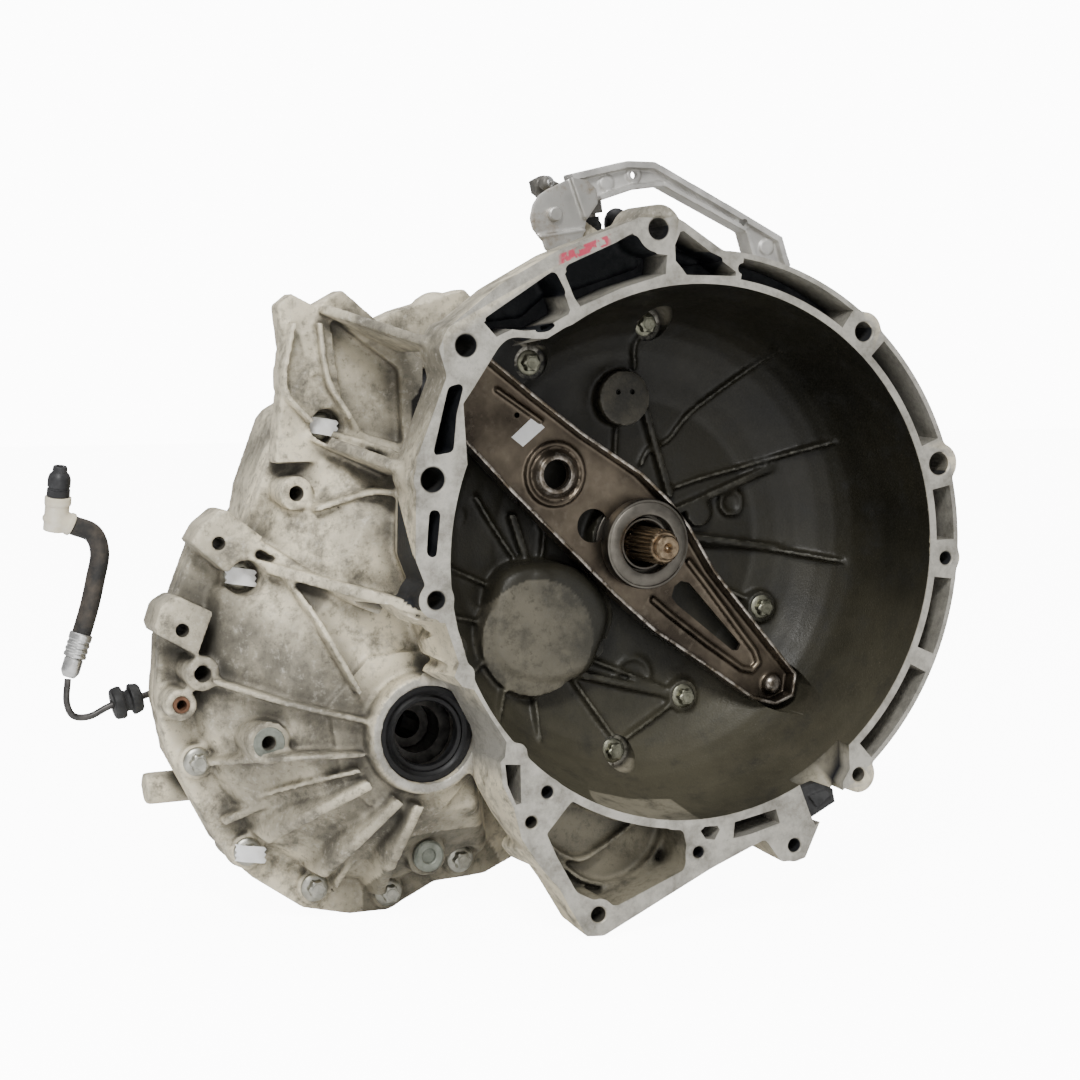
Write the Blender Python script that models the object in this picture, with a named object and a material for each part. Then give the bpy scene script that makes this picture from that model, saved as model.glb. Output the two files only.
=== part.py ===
"""A transverse five-speed manual transaxle, clutch side towards -Y.

Frame: the origin is where the input shaft's axis crosses the engine face of the clutch housing.
+Y runs along the shafts into the gearbox, +Z is up and +X is to the right for someone who looks
into the clutch housing. All sizes in this file are millimetres and the meshes are made in metres.
"""

import math

import bmesh
import bpy
from mathutils import Matrix, Vector

MM = 0.001
GAP = 0.3  # clearance left between two pieces that touch in the real gearbox

# Driving dimensions ---------------------------------------------------------------------------

BELL_MOUTH_R = 168.0  # clutch housing opening at the engine face
FLANGE_R = 186.0  # round part of the engine flange
BELL_FLOOR_Y = 108.0  # inner face of the clutch housing's rear wall
JOINT_Y = 130.0  # plane where the clutch housing meets the gear housing
LIP = 12.0  # thickness of each joint flange
WALL = 7.0  # casting wall
GEAR_HOUSING_END_Y = 362.0
JOINT_SEAT_Y = 114.2  # where the outside joint bolts' heads rest
BELL_SEAT_Y = 101.2  # where the joint bolts inside the bell rest

MODULE = 5.94  # gear tooth size; tooth counts below set every centre distance
BACKLASH = 0.35  # share of play in the tooth width
TEETH_PER_PAIR = 32
DRIVE_TEETH = {"first": 8, "second": 11, "third": 14, "fourth": 16, "fifth": 18}
REVERSE_PINION, REVERSE_IDLER, REVERSE_GEAR = 7, 10, 20
FINAL_PINION, RING_GEAR = 8, 26

SHAFT_DISTANCE = MODULE * TEETH_PER_PAIR / 2
FINAL_DISTANCE = MODULE * (FINAL_PINION + RING_GEAR) / 2


def polar(radius, degrees, centre=(0.0, 0.0)):
    """The point (x, z) at that radius and angle from a centre, counter-clockwise from +X."""
    angle = math.radians(degrees)
    return (centre[0] + radius * math.cos(angle), centre[1] + radius * math.sin(angle))


INPUT_AXIS = (0.0, 0.0)
OUTPUT_AXIS = polar(SHAFT_DISTANCE, 219.0)
DIFF_AXIS = polar(FINAL_DISTANCE, 208.5, OUTPUT_AXIS)
RAIL_AXIS = (-8.0, 94.0)
SLAVE_AXIS = (-122.0, 92.0)
DRAIN_AXIS = (-150.0, -192.0)
FORK_BALL = (99.0, 91.0, -99.0)
FORK_BAY = (101.0, -99.0)  # round bay in the bell's wall around the fork's ball end

# Axial stations (front, back) of what sits on the two shafts.
STATIONS = {
    "final": (132.0, 156.0),
    "fourth": (162.0, 176.0),
    "sleeve_34": (182.0, 196.0),
    "third": (202.0, 216.0),
    "second": (221.0, 235.0),
    "sleeve_12": (241.0, 255.0),
    "first": (261.0, 275.0),
    "fifth": (280.0, 294.0),
    "sleeve_5r": (300.0, 314.0),
    "reverse": (320.0, 334.0),
}
GEAR_ROOM_R = 78.0  # space around the largest gear on the output shaft
RING_ROOM_R = 84.0  # space around the ring gear
SLEEVE_OUTER_R = 45.0
HUB_R = 37.0

# Engine flange bolts: angle, distance from the input axis, boss radius, hole radius.
FLANGE_BOLTS = (
    (98.8, 200.0, 14.5, 6.5),
    (50.3, 177.5, 12.5, 6.0),
    (17.0, 179.0, 13.0, 7.2),
    (-2.9, 177.5, 10.5, 4.2),
    (-52.0, 185.5, 11.5, 4.5),
    (-70.3, 199.5, 10.5, 4.2),
    (-90.3, 186.0, 9.5, 3.6),
    (-107.6, 229.0, 10.0, 4.8),
    (-125.9, 194.0, 9.0, 3.7),
    (-126.5, 173.7, 9.0, 3.7),
    (-173.3, 175.0, 11.0, 5.4),
    (164.1, 182.7, 12.0, 7.2),
    (140.5, 200.6, 15.0, 6.5),
)
# Pockets between the bell's inner and outer walls: first and last angle, inner and outer radius.
FLANGE_POCKETS = (
    (55.5, 82.5, 173.5, 180.5),
    (23.0, 45.0, 173.5, 180.5),
    (2.0, 11.0, 173.5, 181.5),
    (-22.0, -8.0, 173.5, 181.5),
    (-46.0, -27.5, 173.5, 181.5),
)
# Bolts that hold the two housings together, driven from outside (x, z).
JOINT_BOLTS = ((-289, -127), (-258, -186), (-215, -213), (-166, -221), (-117, -204), (-262, -13), (-209, 78))
# The same bolts where they are driven from inside the bell.
BELL_BOLTS = ((-74, 117), (8, 142), (97, -48), (38, -105), (-14, -138))
# Only the first few bolts of each ring are modelled as separate pieces here.
JOINT_BOLT_NODES = 2
BELL_BOLT_NODES = 2

MATERIALS = {
    # name: colour, roughness, metallic
    "cast_aluminium": ((0.50, 0.48, 0.43), 0.62, 0.75),
    "machined_steel": ((0.46, 0.45, 0.43), 0.32, 1.0),
    "gear_steel": ((0.40, 0.39, 0.37), 0.30, 1.0),
    "bearing_steel": ((0.55, 0.55, 0.56), 0.22, 1.0),
    "pressed_steel": ((0.33, 0.27, 0.21), 0.38, 0.9),
    "zinc_plate": ((0.62, 0.61, 0.57), 0.35, 1.0),
    "bronze": ((0.55, 0.41, 0.22), 0.35, 1.0),
    "black_rubber": ((0.03, 0.03, 0.03), 0.75, 0.0),
    "black_plastic": ((0.035, 0.035, 0.037), 0.5, 0.0),
    "white_plastic": ((0.74, 0.72, 0.66), 0.5, 0.0),
    "pipe_steel": ((0.20, 0.19, 0.18), 0.45, 0.8),
}

# Small geometry helpers -------------------------------------------------------------------------


def clear_scene():
    for obj in list(bpy.data.objects):
        bpy.data.objects.remove(obj, do_unlink=True)


def make_object(name, points, faces):
    """A mesh object from millimetre points, with its faces turned outwards."""
    mesh = bpy.data.meshes.new(name)
    mesh.from_pydata([Vector(point) * MM for point in points], [], faces)
    build = bmesh.new()
    build.from_mesh(mesh)
    bmesh.ops.connect_verts_nonplanar(build, angle_limit=math.radians(0.1), faces=build.faces)
    bmesh.ops.recalc_face_normals(build, faces=build.faces)
    build.to_mesh(mesh)
    build.free()
    obj = bpy.data.objects.new(name, mesh)
    bpy.context.scene.collection.objects.link(obj)
    return obj


def loft(sections):
    """A solid through outlines of equal length: sections is a list of (y, outline of (x, z))."""
    count = len(sections[0][1])
    points = [(x, y, z) for y, outline in sections for x, z in outline]
    faces = [list(range(count)), list(range(len(points) - count, len(points)))]
    for ring in range(len(sections) - 1):
        for index in range(count):
            after = (index + 1) % count
            near, far = ring * count, (ring + 1) * count
            faces.append([near + index, near + after, far + after, far + index])
    return make_object("loft", points, faces)


def prism(outline, front, back):
    return loft([(front, outline), (back, outline)])


def turned(profile, centre=(0.0, 0.0), segments=24):
    """A solid turned about an axis parallel to Y. The profile is a closed run of (radius, y)."""
    points, rings = [], []
    for radius, y in profile:
        if radius == 0:
            rings.append([len(points)])
            points.append((centre[0], y, centre[1]))
            continue
        rings.append(list(range(len(points), len(points) + segments)))
        for index in range(segments):
            x, z = polar(radius, 360 * index / segments, centre)
            points.append((x, y, z))
    faces = []
    pairs = list(zip(rings, rings[1:] + rings[:1]))
    for first, second in pairs:
        if len(first) == 1 and len(second) == 1:
            continue
        for index in range(segments):
            after = (index + 1) % segments
            if len(first) == 1:
                faces.append([first[0], second[after], second[index]])
            elif len(second) == 1:
                faces.append([first[index], first[after], second[0]])
            else:
                faces.append([first[index], first[after], second[after], second[index]])
    return make_object("turned", points, faces)


def disc(centre, radius, front, back, segments=16):
    return turned([(0, front), (radius, front), (radius, back), (0, back)], centre, segments)


def tube(centre, outer, inner, front, back, segments=24):
    profile = [(inner, front), (outer, front), (outer, back), (inner, back)]
    return turned(profile, centre, segments)


def placed(obj, start, direction):
    """Moves an object made about the Y axis so that its y = 0 sits at start and +Y runs along direction."""
    turn = Vector((0, 1, 0)).rotation_difference(Vector(direction).normalized()).to_matrix().to_4x4()
    obj.data.transform(Matrix.Translation(Vector(start) * MM) @ turn)
    return obj


def rod(start, end, radius, segments=12):
    """A round bar between two (x, y, z) points."""
    run = Vector(end) - Vector(start)
    return placed(disc((0, 0), radius, 0, run.length, segments), start, run)


def box(low, high):
    outline = [(low[0], low[2]), (high[0], low[2]), (high[0], high[2]), (low[0], high[2])]
    return prism(outline, low[1], high[1])


def rounded(corners, step=30.0):
    """An outline with its corners rounded: corners are (x, z, radius), in order."""
    outline = []
    for index, (x, z, radius) in enumerate(corners):
        corner = Vector((x, z))
        before = (Vector(corners[index - 1][:2]) - corner).normalized()
        after = (Vector(corners[(index + 1) % len(corners)][:2]) - corner).normalized()
        opening = before.angle(after)
        turn = math.pi - opening
        if radius <= 0 or turn < math.radians(8):
            outline.append((x, z))
            continue
        reach = radius / math.tan(opening / 2)
        centre = corner + (before + after).normalized() * (radius / math.sin(opening / 2))
        first = corner + before * reach - centre
        sign = 1 if first.x * (corner + after * reach - centre).y > first.y * (corner + after * reach - centre).x else -1
        pieces = max(1, round(math.degrees(turn) / step))
        for piece in range(pieces + 1):
            spoke = first.copy()
            spoke.rotate(Matrix.Rotation(sign * turn * piece / pieces, 2))
            outline.append(tuple(centre + spoke))
    return outline


def arc(radius, first, last, pieces, centre=(0.0, 0.0)):
    return [polar(radius, first + (last - first) * i / pieces, centre) for i in range(pieces + 1)]


def inset(outline, distance):
    """The outline moved inwards by a distance, vertex by vertex. It runs counter-clockwise or clockwise."""
    count = len(outline)
    area = sum(outline[i - 1][0] * outline[i][1] - outline[i][0] * outline[i - 1][1] for i in range(count))
    side = 1 if area > 0 else -1
    moved = []
    for index in range(count):
        here = Vector(outline[index])
        back = (here - Vector(outline[index - 1])).normalized()
        ahead = (Vector(outline[(index + 1) % count]) - here).normalized()
        normal = Vector((-(back + ahead).y, (back + ahead).x)).normalized() * side
        square = Vector((-back.y, back.x)) * side
        moved.append(tuple(here + normal * distance / max(0.5, normal.dot(square))))
    return moved


def scaled(outline, factor, centre=(0.0, 0.0)):
    return [(centre[0] + (x - centre[0]) * factor, centre[1] + (z - centre[1]) * factor) for x, z in outline]


def drawn_in(outline, limit):
    """The outline with every point brought within a radius of the input axis."""
    shares = [min(1.0, limit / math.hypot(x, z)) for x, z in outline]
    return [(x * share, z * share) for (x, z), share in zip(outline, shares)]


def boolean(target, tools, operation):
    """Applies Boolean modifiers to the target, one tool after another, and removes the tools."""
    for tool in tools:
        modifier = target.modifiers.new("shape", "BOOLEAN")
        modifier.operation = operation
        modifier.object = tool
        graph = bpy.context.evaluated_depsgraph_get()
        target.data = bpy.data.meshes.new_from_object(target.evaluated_get(graph))
        target.modifiers.clear()
        close_slivers(target.data)
    for tool in tools:
        bpy.data.objects.remove(tool, do_unlink=True)
    return target


def close_slivers(mesh):
    """Merges points that a Boolean left a hair apart and closes the needle-thin gaps between them."""
    build = bmesh.new()
    build.from_mesh(mesh)
    bmesh.ops.remove_doubles(build, verts=build.verts, dist=0.002 * MM)
    bmesh.ops.dissolve_degenerate(build, edges=build.edges, dist=0.002 * MM)
    bmesh.ops.holes_fill(build, edges=[edge for edge in build.edges if edge.is_boundary])
    build.to_mesh(mesh)
    build.free()


def fuse(target, *pieces):
    return boolean(target, pieces, "UNION")


def cut(target, *tools):
    return boolean(target, tools, "DIFFERENCE")


def material(name):
    found = bpy.data.materials.get(name)
    if found:
        return found
    colour, roughness, metallic = MATERIALS[name]
    made = bpy.data.materials.new(name)
    made.use_nodes = True
    shader = made.node_tree.nodes["Principled BSDF"]
    shader.inputs["Base Color"].default_value = (*colour, 1)
    shader.inputs["Roughness"].default_value = roughness
    shader.inputs["Metallic"].default_value = metallic
    return made


def join_flat_faces(mesh):
    """Joins neighbouring faces that lie in one plane."""
    build = bmesh.new()
    build.from_mesh(mesh)
    bmesh.ops.dissolve_limit(build, angle_limit=math.radians(0.3), verts=build.verts, edges=build.edges)
    build.to_mesh(mesh)
    build.free()


def finish(obj, name, material_name, body=None):
    """Names the object, gives it its material and smooth shading, and hangs it on its body's empty."""
    join_flat_faces(obj.data)
    obj.name = obj.data.name = name
    obj.data.materials.clear()
    obj.data.materials.append(material(material_name))
    obj.data.shade_smooth()
    obj.data.set_sharp_from_angle(angle=math.radians(35))
    if body:
        obj.parent = body
        obj.matrix_parent_inverse = body.matrix_world.inverted()
    return obj


def joint_empty(name, at):
    """An empty on a joint's axis, that the moving pieces hang on."""
    empty = bpy.data.objects.new(name, None)
    empty.location = Vector(at) * MM
    bpy.context.scene.collection.objects.link(empty)
    bpy.context.view_layer.update()
    return empty


def rib(start, end, foot, thickness=6.0):
    """A cast rib that stands along Y. start and end are (x, z, y of the free edge), foot is its base's y."""
    a, b = Vector(start[:2]), Vector(end[:2])
    side = Vector((-(b - a).y, (b - a).x)).normalized() * thickness / 2
    points = []
    for at, top in ((a, start[2]), (b, end[2])):
        for offset in (side, -side):
            for y in (top, foot):
                points.append((*(at + offset),)[:1] + (y,) + (*(at + offset),)[1:])
    faces = [[0, 1, 3, 2], [4, 5, 7, 6], [0, 1, 5, 4], [2, 3, 7, 6], [0, 2, 6, 4], [1, 3, 7, 5]]
    return make_object("rib", points, faces)


# Clutch housing ---------------------------------------------------------------------------------


def flange_outline():
    """Outer edge of the engine flange: an arc on the right, straight cast edges on the left."""
    left = [
        (-15, 203), (-46, 203), (-96, 184), (-134, 163), (-161, 142), (-172, 126), (-167, 110),
        (-186, 62), (-187, 4), (-168, -44), (-149, -118), (-125, -161), (-95, -203), (-78, -231),
        (-66, -232), (8, -197), (46, -182), (58, -198), (75, -197), (91, -163),
    ]
    return arc(FLANGE_R, -57, 86, 18) + left


def joint_outline():
    """Edge of the joint flange between the clutch housing and the gear housing."""
    return rounded([
        (110, -56, 20), (122, 0, 30), (112, 74, 30), (70, 132, 30), (8, 155, 20), (-82, 131, 10),
        (-94, 66, 14), (-150, 60, 14), (-190, 92, 6), (-216, 94, 6), (-238, 62, 0), (-258, 12, 6),
        (-286, 12, 0), (-310, -50, 0), (-313, -88, 0), (-306, -122, 0), (-276, -180, 0),
        (-254, -204, 0), (-221, -227, 0), (-191, -234, 0), (-164, -234, 0), (-133, -219, 0),
        (-98, -217, 6), (-60, -200, 6), (-15, -152, 6), (42, -118, 0),
    ], 60)


def back_hollow_outline():
    """Hollow behind the bell's rear wall. It stays clear of the joint bolts."""
    return [
        (84, -38), (97, 0), (88, 60), (56, 108), (8, 126), (-60, 104), (-72, 46), (-160, 36),
        (-198, 58), (-208, 50), (-236, -30), (-262, -34), (-284, -66), (-288, -90), (-272, -118),
        (-248, -166), (-214, -196), (-166, -202), (-120, -188), (-70, -172), (-30, -128), (26, -92),
    ]


def diff_shell_outline():
    """Foot of the shell over the differential, inside the joint bolts."""
    return rounded([
        (-98, -204, 6), (-133, -206, 0), (-166, -218, 0), (-214, -206, 20), (-252, -180, 20),
        (-280, -138, 0), (-296, -86, 15), (-280, -20, 0), (-255, 6, 10), (-214, 84, 15),
        (-160, 96, 15), (-120, 60, 10), (-105, -100, 0),
    ], 60)


def sector(first, last, inner, outer, front, back):
    """A pocket cutter between two radii and two angles about the input axis."""
    pieces = max(1, round(abs(last - first) / 12))
    outline = arc(outer, first, last, pieces) + arc(inner, last, first, pieces)
    return prism(outline, front, back)


def bell_shell():
    """The bell: engine flange, tapering outer wall and the solid rear wall."""
    edge = flange_outline()
    return loft([
        (0, edge), (38, scaled(edge, 0.99)), (70, drawn_in(edge, 176)), (JOINT_Y - 3, drawn_in(edge, 148)),
    ])


def bell_cavity():
    """Space for the clutch: a tapering round hollow with the bay for the fork's driven end."""
    profile = [(0, -2), (BELL_MOUTH_R, -2), (160, 46), (150, 82), (123, BELL_FLOOR_Y), (0, BELL_FLOOR_Y)]
    round_space = turned(profile, segments=36)
    bay = rounded([
        (-80, 50, 0), (-84, 147, 0), (-118, 136, 0), (-133, 130, 6), (-157, 94, 12), (-154, 50, 0),
    ], 45)
    fork_bay = loft([(-3, bay), (96, scaled(bay, 0.95))])
    return fuse(round_space, fork_bay, disc(FORK_BAY, 17, 50, 100, 14))


def flange_pockets():
    """Open pockets between the bell's inner and outer walls, in front."""
    outlines = (
        [(-147, 141), (-99, 172), (-91, 158), (-108, 144), (-132, 141)],
        [(-93, 174), (-47, 194), (-31, 183), (-29, 175), (-84, 157)],
        [(-13, 191), (20, 178), (-15, 175)],
        [(-166, 104), (-156, 106), (-161, 88), (-163, 66), (-176, 64)],
        [(-178, 33), (-171, 32), (-174, 4), (-180, 6)],
    )
    starter_corner = [
        (-88, -147), (-59, -161), (-30, -169), (-12, -171), (-9, -184), (-11, -196), (-57, -214),
        (-66, -212), (-84, -203), (-97, -180), (-104, -165),
    ]
    pockets = [prism(outline, -1, 34) for outline in outlines]
    pockets += [sector(*pocket, -1, 33) for pocket in FLANGE_POCKETS]
    return [*pockets, prism(starter_corner, -1, 38), sector(-121, -97, 164, 174, -1, 4)]


def outside_ribs():
    """Webs and ribs on the outside of the bell and over the differential."""
    ribs = [
        rib((-182, -26, 8), (-272, 0, 104), 119, 7),
        rib((-178, 52, 8), (-222, 74, 96), 119, 7),
        rib((-162, 126, 12), (-214, 150, 84), 119, 6),
    ]
    for angle, reach in ((130, 150), (163, 122), (207, 126), (248, 118)):
        near, far = polar(30, angle, DIFF_AXIS), polar(reach, angle, DIFF_AXIS)
        ribs.append(rib((*near, 58), (*far, 107), 120, 5))
    return ribs


def floor_ribs():
    """Stiffening ribs on the floor of the bell."""
    ends = (
        ((9, 90), (30, 28)), ((26, 16), (142, 60)), ((32, 3), (146, -14)), ((-46, -84), (30, -104)),
        ((-96, -50), (-136, -22)), ((-66, -34), (-84, 20)),
    )
    return [rib((*a, 100), (*b, 102), BELL_FLOOR_Y + 4, 5) for a, b in ends]


def clutch_housing():
    foot = diff_shell_outline()
    middle = (-168, -84)
    web = [(-146, 118), (-199, 162), (-217, 152), (-231, 159), (-240, 152), (-236, 120), (-243, 56), (-150, 56)]
    web_panel = [(-207, 146), (-162, 113), (-160, 66), (-186, 74), (-200, 96)]
    upper_ear = rounded([(-296, 10, 0), (-290, 20, 4), (-276, 31, 4), (-252, 12, 0), (-262, -12, 0), (-276, -8, 4)], 60)
    lower_ear = rounded([(-321, -42, 4), (-316, -27, 4), (-306, -21, 4), (-284, -32, 0), (-294, -58, 0)], 60)
    body = fuse(
        bell_shell(),
        prism(joint_outline(), JOINT_Y - LIP, JOINT_Y),
        loft([(JOINT_Y - LIP + 2, foot), (104, scaled(foot, 0.95, middle)), (62, scaled(foot, 0.62, middle))]),
        turned([(0, 45), (35, 45), (37, 47), (40, 70), (58, 100), (58, 120), (0, 120)], DIFF_AXIS, 18),
        *outside_ribs(),
        prism(web, 96, 113),
        disc(FORK_BAY, 25, 44, BELL_FLOOR_Y + 5, 14),
        prism(upper_ear, 92, 121),
        prism(lower_ear, 88, 121),
        disc((-258, -109), 13, 62, 122),
        disc(DRAIN_AXIS, 13, 83.8, 123, 12),
        disc((-291, -69), 10, 88, 122, 12),
        disc((-303, -88), 9, 94, 122, 12),
        disc((-231, 38), 10, 90, 122, 12),
        *[disc(at, 10.5, JOINT_SEAT_Y - 0.2, JOINT_Y - 2, 8) for at in JOINT_BOLTS],
    )
    # Hollow the bell and the flange pockets, then stand the bosses and ribs in them.
    body = cut(body, bell_cavity(), *flange_pockets(), prism(web_panel, 90, 105))
    body = fuse(
        body,
        *[disc(polar(r, a), boss, 0, 38.5, 9) for a, r, boss, _ in FLANGE_BOLTS],
        *[disc(at, 10, BELL_SEAT_Y - 0.2, BELL_FLOOR_Y + 5, 8) for at in BELL_BOLTS],
        disc(OUTPUT_AXIS, 37, 88, BELL_FLOOR_Y + 6, 24),
        disc(RAIL_AXIS, 18, 94, BELL_FLOOR_Y + 6, 20),
        disc((50, 17), 9, 100, BELL_FLOOR_Y + 5, 12),
        disc(INPUT_AXIS, 31, 96, BELL_FLOOR_Y + 6, 24),
        disc(FORK_BALL[::2], 9, 98, BELL_FLOOR_Y + 5, 12),
        *floor_ribs(),
    )
    # Hollow behind the rear wall, with the bearing seats left standing.
    body = cut(
        body,
        prism(back_hollow_outline(), BELL_FLOOR_Y + 11, JOINT_Y + 1),
        turned([(0, 92), (46, 92), (84, 112), (84, JOINT_Y + 1), (0, JOINT_Y + 1)], DIFF_AXIS, 20),
    )
    body = fuse(
        body,
        disc(INPUT_AXIS, 34, 114, JOINT_Y - 1, 24),
        disc(OUTPUT_AXIS, 36, 113, JOINT_Y - 4, 24),
        disc(RAIL_AXIS, 14, 113, JOINT_Y - 2, 12),
        disc(DIFF_AXIS, 43, 66, 90, 18),
    )
    body = cut(
        body,
        disc(INPUT_AXIS, 26 + GAP, 112, JOINT_Y + 1, 24),
        disc(INPUT_AXIS, 17 + GAP, 90, 114, 24),
        disc(OUTPUT_AXIS, 28 + GAP, 98, JOINT_Y + 1, 24),
        disc(RAIL_AXIS, 7 + GAP, 112, JOINT_Y + 1, 12),
        disc(DIFF_AXIS, 30 + GAP, 40, 61, 20),
        disc(DIFF_AXIS, 24, 59, 80, 16),
        disc(DIFF_AXIS, 32 + GAP, 66, 100, 24),
        disc(FORK_BALL[::2], 5 + GAP, 90, 112, 10),
        disc(SLAVE_AXIS, 15 + GAP, 80, JOINT_Y + 1, 20),
        disc((-258, -109), 4, 55, 90, 10),
        disc(DRAIN_AXIS, 12, 66, 84, 14),
        disc(DRAIN_AXIS, 4.5, 78, 100, 10),
        disc((-291, -69), 5, 80, JOINT_Y + 1, 10),
        disc((-303, -88), 5, 90, 112, 10),
        disc((-231, 38), 4.5, 80, JOINT_Y + 1, 10),
        disc((-279, 9), 4, 85, JOINT_Y + 1, 10),
        disc((-303, -42), 4, 80, JOINT_Y + 1, 10),
        *[disc(polar(r, a), hole, -1, 45, 8) for a, r, _, hole in FLANGE_BOLTS],
        *[disc(at, 11.5, 80, JOINT_SEAT_Y, 10) for at in JOINT_BOLTS],
        *[disc(at, 11, 80, BELL_SEAT_Y, 10) for at in BELL_BOLTS],
        *[disc(at, 4 + 2 * GAP, 95, JOINT_Y + 1, 8) for at in (*JOINT_BOLTS, *BELL_BOLTS)],
    )
    return finish(body, "clutch_housing", "cast_aluminium")


# Gear housing -----------------------------------------------------------------------------------


def gear_section():
    """Outline of the long part of the gear housing, around both shafts and the fork rail.

    Its round lower left side follows the largest gear and leaves the left drive shaft's way free.
    """
    upper = rounded([
        (-19, -123, 0), (66, -52, 25), (74, 20, 30), (60, 100, 20), (8, 122, 15), (-72, 112, 20), (-96, 40, 0),
    ], 45)
    return upper + arc(GEAR_ROOM_R + WALL - 1, 112, 304, 12, OUTPUT_AXIS)


def diff_section():
    """Outline of the wide part of the gear housing, around the ring gear."""
    return rounded([
        (-82, -200, 6), (-134, -206, 0), (-166, -220, 0), (-214, -212, 20), (-252, -184, 20),
        (-282, -138, 0), (-298, -86, 15), (-278, -20, 0), (-250, 12, 10), (-218, 78, 8),
        (-150, 44, 0), (-60, -60, 0),
    ], 60)


def side_section():
    """Outline of the bulge on the gear housing's left side, beside the differential."""
    return rounded([
        (-130, 50, 0), (-152, 60, 0), (-200, 96, 10), (-221, 84, 10), (-238, 38, 0), (-245, 0, 10),
        (-236, -60, 10), (-170, -60, 0),
    ], 60)


def gear_housing_ribs():
    ribs = []
    for angle, reach in ((150, 116), (180, 122), (210, 122), (240, 114)):
        near, far = polar(36, angle, DIFF_AXIS), polar(reach, angle, DIFF_AXIS)
        ribs.append(rib((*near, 222), (*far, 160), 141, 6))
    ribs += [box((x - 3, 138, -150), (x + 3, 336, -125)) for x in (-96, -52)]
    ribs += [box((40, 139, z - 3), (75, 340, z + 3)) for z in (-36, 22)]
    return ribs


def gear_housing():
    front, end = JOINT_Y + GAP, GEAR_HOUSING_END_Y
    main, wide = gear_section(), diff_section()
    centre = (-50, -20)
    body = fuse(
        prism(joint_outline(), front, front + LIP),
        loft([(front + 2, main), (end - 20, main), (end, scaled(main, 0.9, centre))]),
        loft([(front + 3, wide), (158, scaled(wide, 0.97, DIFF_AXIS)), (196, scaled(wide, 0.84, DIFF_AXIS)),
              (212, scaled(wide, 0.68, DIFF_AXIS))]),
        *gear_housing_ribs(),
        *[disc(at, 10.5, front + 4, front + 26, 8) for at in JOINT_BOLTS],
        loft([(front + 4, side_section()), (214, side_section()), (236, scaled(side_section(), 0.85, (-150, 0)))]),
        rod((-246, 160, -150), (-312, 160, -151), 10.5),
        placed(disc((0, 0), 26, -72, 0, 20), SELECTOR_SEAT, SELECTOR_UP),
    )
    # Hollow it, then stand the bearing seats inside.
    thin, thin_wide = inset(main, WALL - 1), inset(wide, WALL)
    thin_side = inset(side_section(), WALL)
    body = cut(
        body,
        loft([(front - 1, thin), (end - 24, thin), (end - 10, scaled(thin, 0.95, centre))]),
        loft([(front - 2, thin_wide), (192, scaled(thin_wide, 0.82, DIFF_AXIS))]),
        prism(thin_side, front - 3, 212),
        disc(DIFF_AXIS, RING_ROOM_R, front - 4, STATIONS["final"][1] + 2, 24),
    )
    body = fuse(
        body,
        disc(INPUT_AXIS, 33, 336, end - 8, 20),
        disc(OUTPUT_AXIS, 35, 338, end - 7, 20),
        disc(RAIL_AXIS, 13, 337, end - 6, 12),
        disc(idler_axis(), 13, 340, end - 6, 12),
        turned([(0, 170), (43, 170), (43, 186), (48, 188), (38, 205), (38, 219), (0, 219)], DIFF_AXIS, 20),
    )
    body = cut(
        body,
        disc(INPUT_AXIS, 24 + GAP, 330, end - 13, 24),
        disc(OUTPUT_AXIS, 26 + GAP, 330, end - 13, 24),
        disc(RAIL_AXIS, 7 + GAP, 330, end - 14, 12),
        disc(idler_axis(), 8 + 2 * GAP, 330, end - 13, 10),
        disc(DIFF_AXIS, 32 + GAP, 160, 199, 24),
        disc(DIFF_AXIS, 24, 196, 214, 16),
        disc(DIFF_AXIS, 30 + GAP, 208, 230, 20),
        placed(disc((0, 0), 10, -80, 1, 16), SELECTOR_SEAT, SELECTOR_UP),
        *[disc(at, 4 + 2 * GAP, front - 1, front + 20, 8) for at in (*JOINT_BOLTS, *BELL_BOLTS)],
        disc(SLAVE_AXIS, 15 + GAP, front - 1, front + LIP + 1, 20),
    )
    return finish(body, "gear_housing", "cast_aluminium")


# Gears and shafts -------------------------------------------------------------------------------


def gear_outline(teeth, centre, tooth_angle):
    """Straight-flanked teeth with one tooth's middle at tooth_angle (degrees)."""
    pitch_r = MODULE * teeth / 2
    tip_r, root_r = pitch_r + 0.85 * MODULE, pitch_r - 1.15 * MODULE
    pitch = 360 / teeth
    half = pitch / 4 * (1 - BACKLASH)
    lean = math.degrees(0.36 * MODULE / pitch_r)
    outline = []
    for tooth in range(teeth):
        middle = tooth_angle + tooth * pitch
        for radius, offset in ((root_r, -half - lean), (tip_r, lean - half), (tip_r, half - lean), (root_r, half + lean)):
            outline.append(polar(radius, middle + offset, centre))
    return outline


def meshed_angle(driver_teeth, driver_angle, driver_axis, teeth, axis):
    """Angle of a tooth on a gear so that its gaps meet the driver's teeth."""
    line = math.degrees(math.atan2(axis[1] - driver_axis[1], axis[0] - driver_axis[0]))
    share = (line - driver_angle) * driver_teeth / 360
    return line + 180 + (share - 0.5) * 360 / teeth


def gear(teeth, axis, tooth_angle, station, bore):
    front, back = STATIONS[station]
    blank = prism(gear_outline(teeth, axis, tooth_angle), front, back)
    return cut(blank, disc(axis, bore, front - 1, back + 1)) if bore else blank


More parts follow.
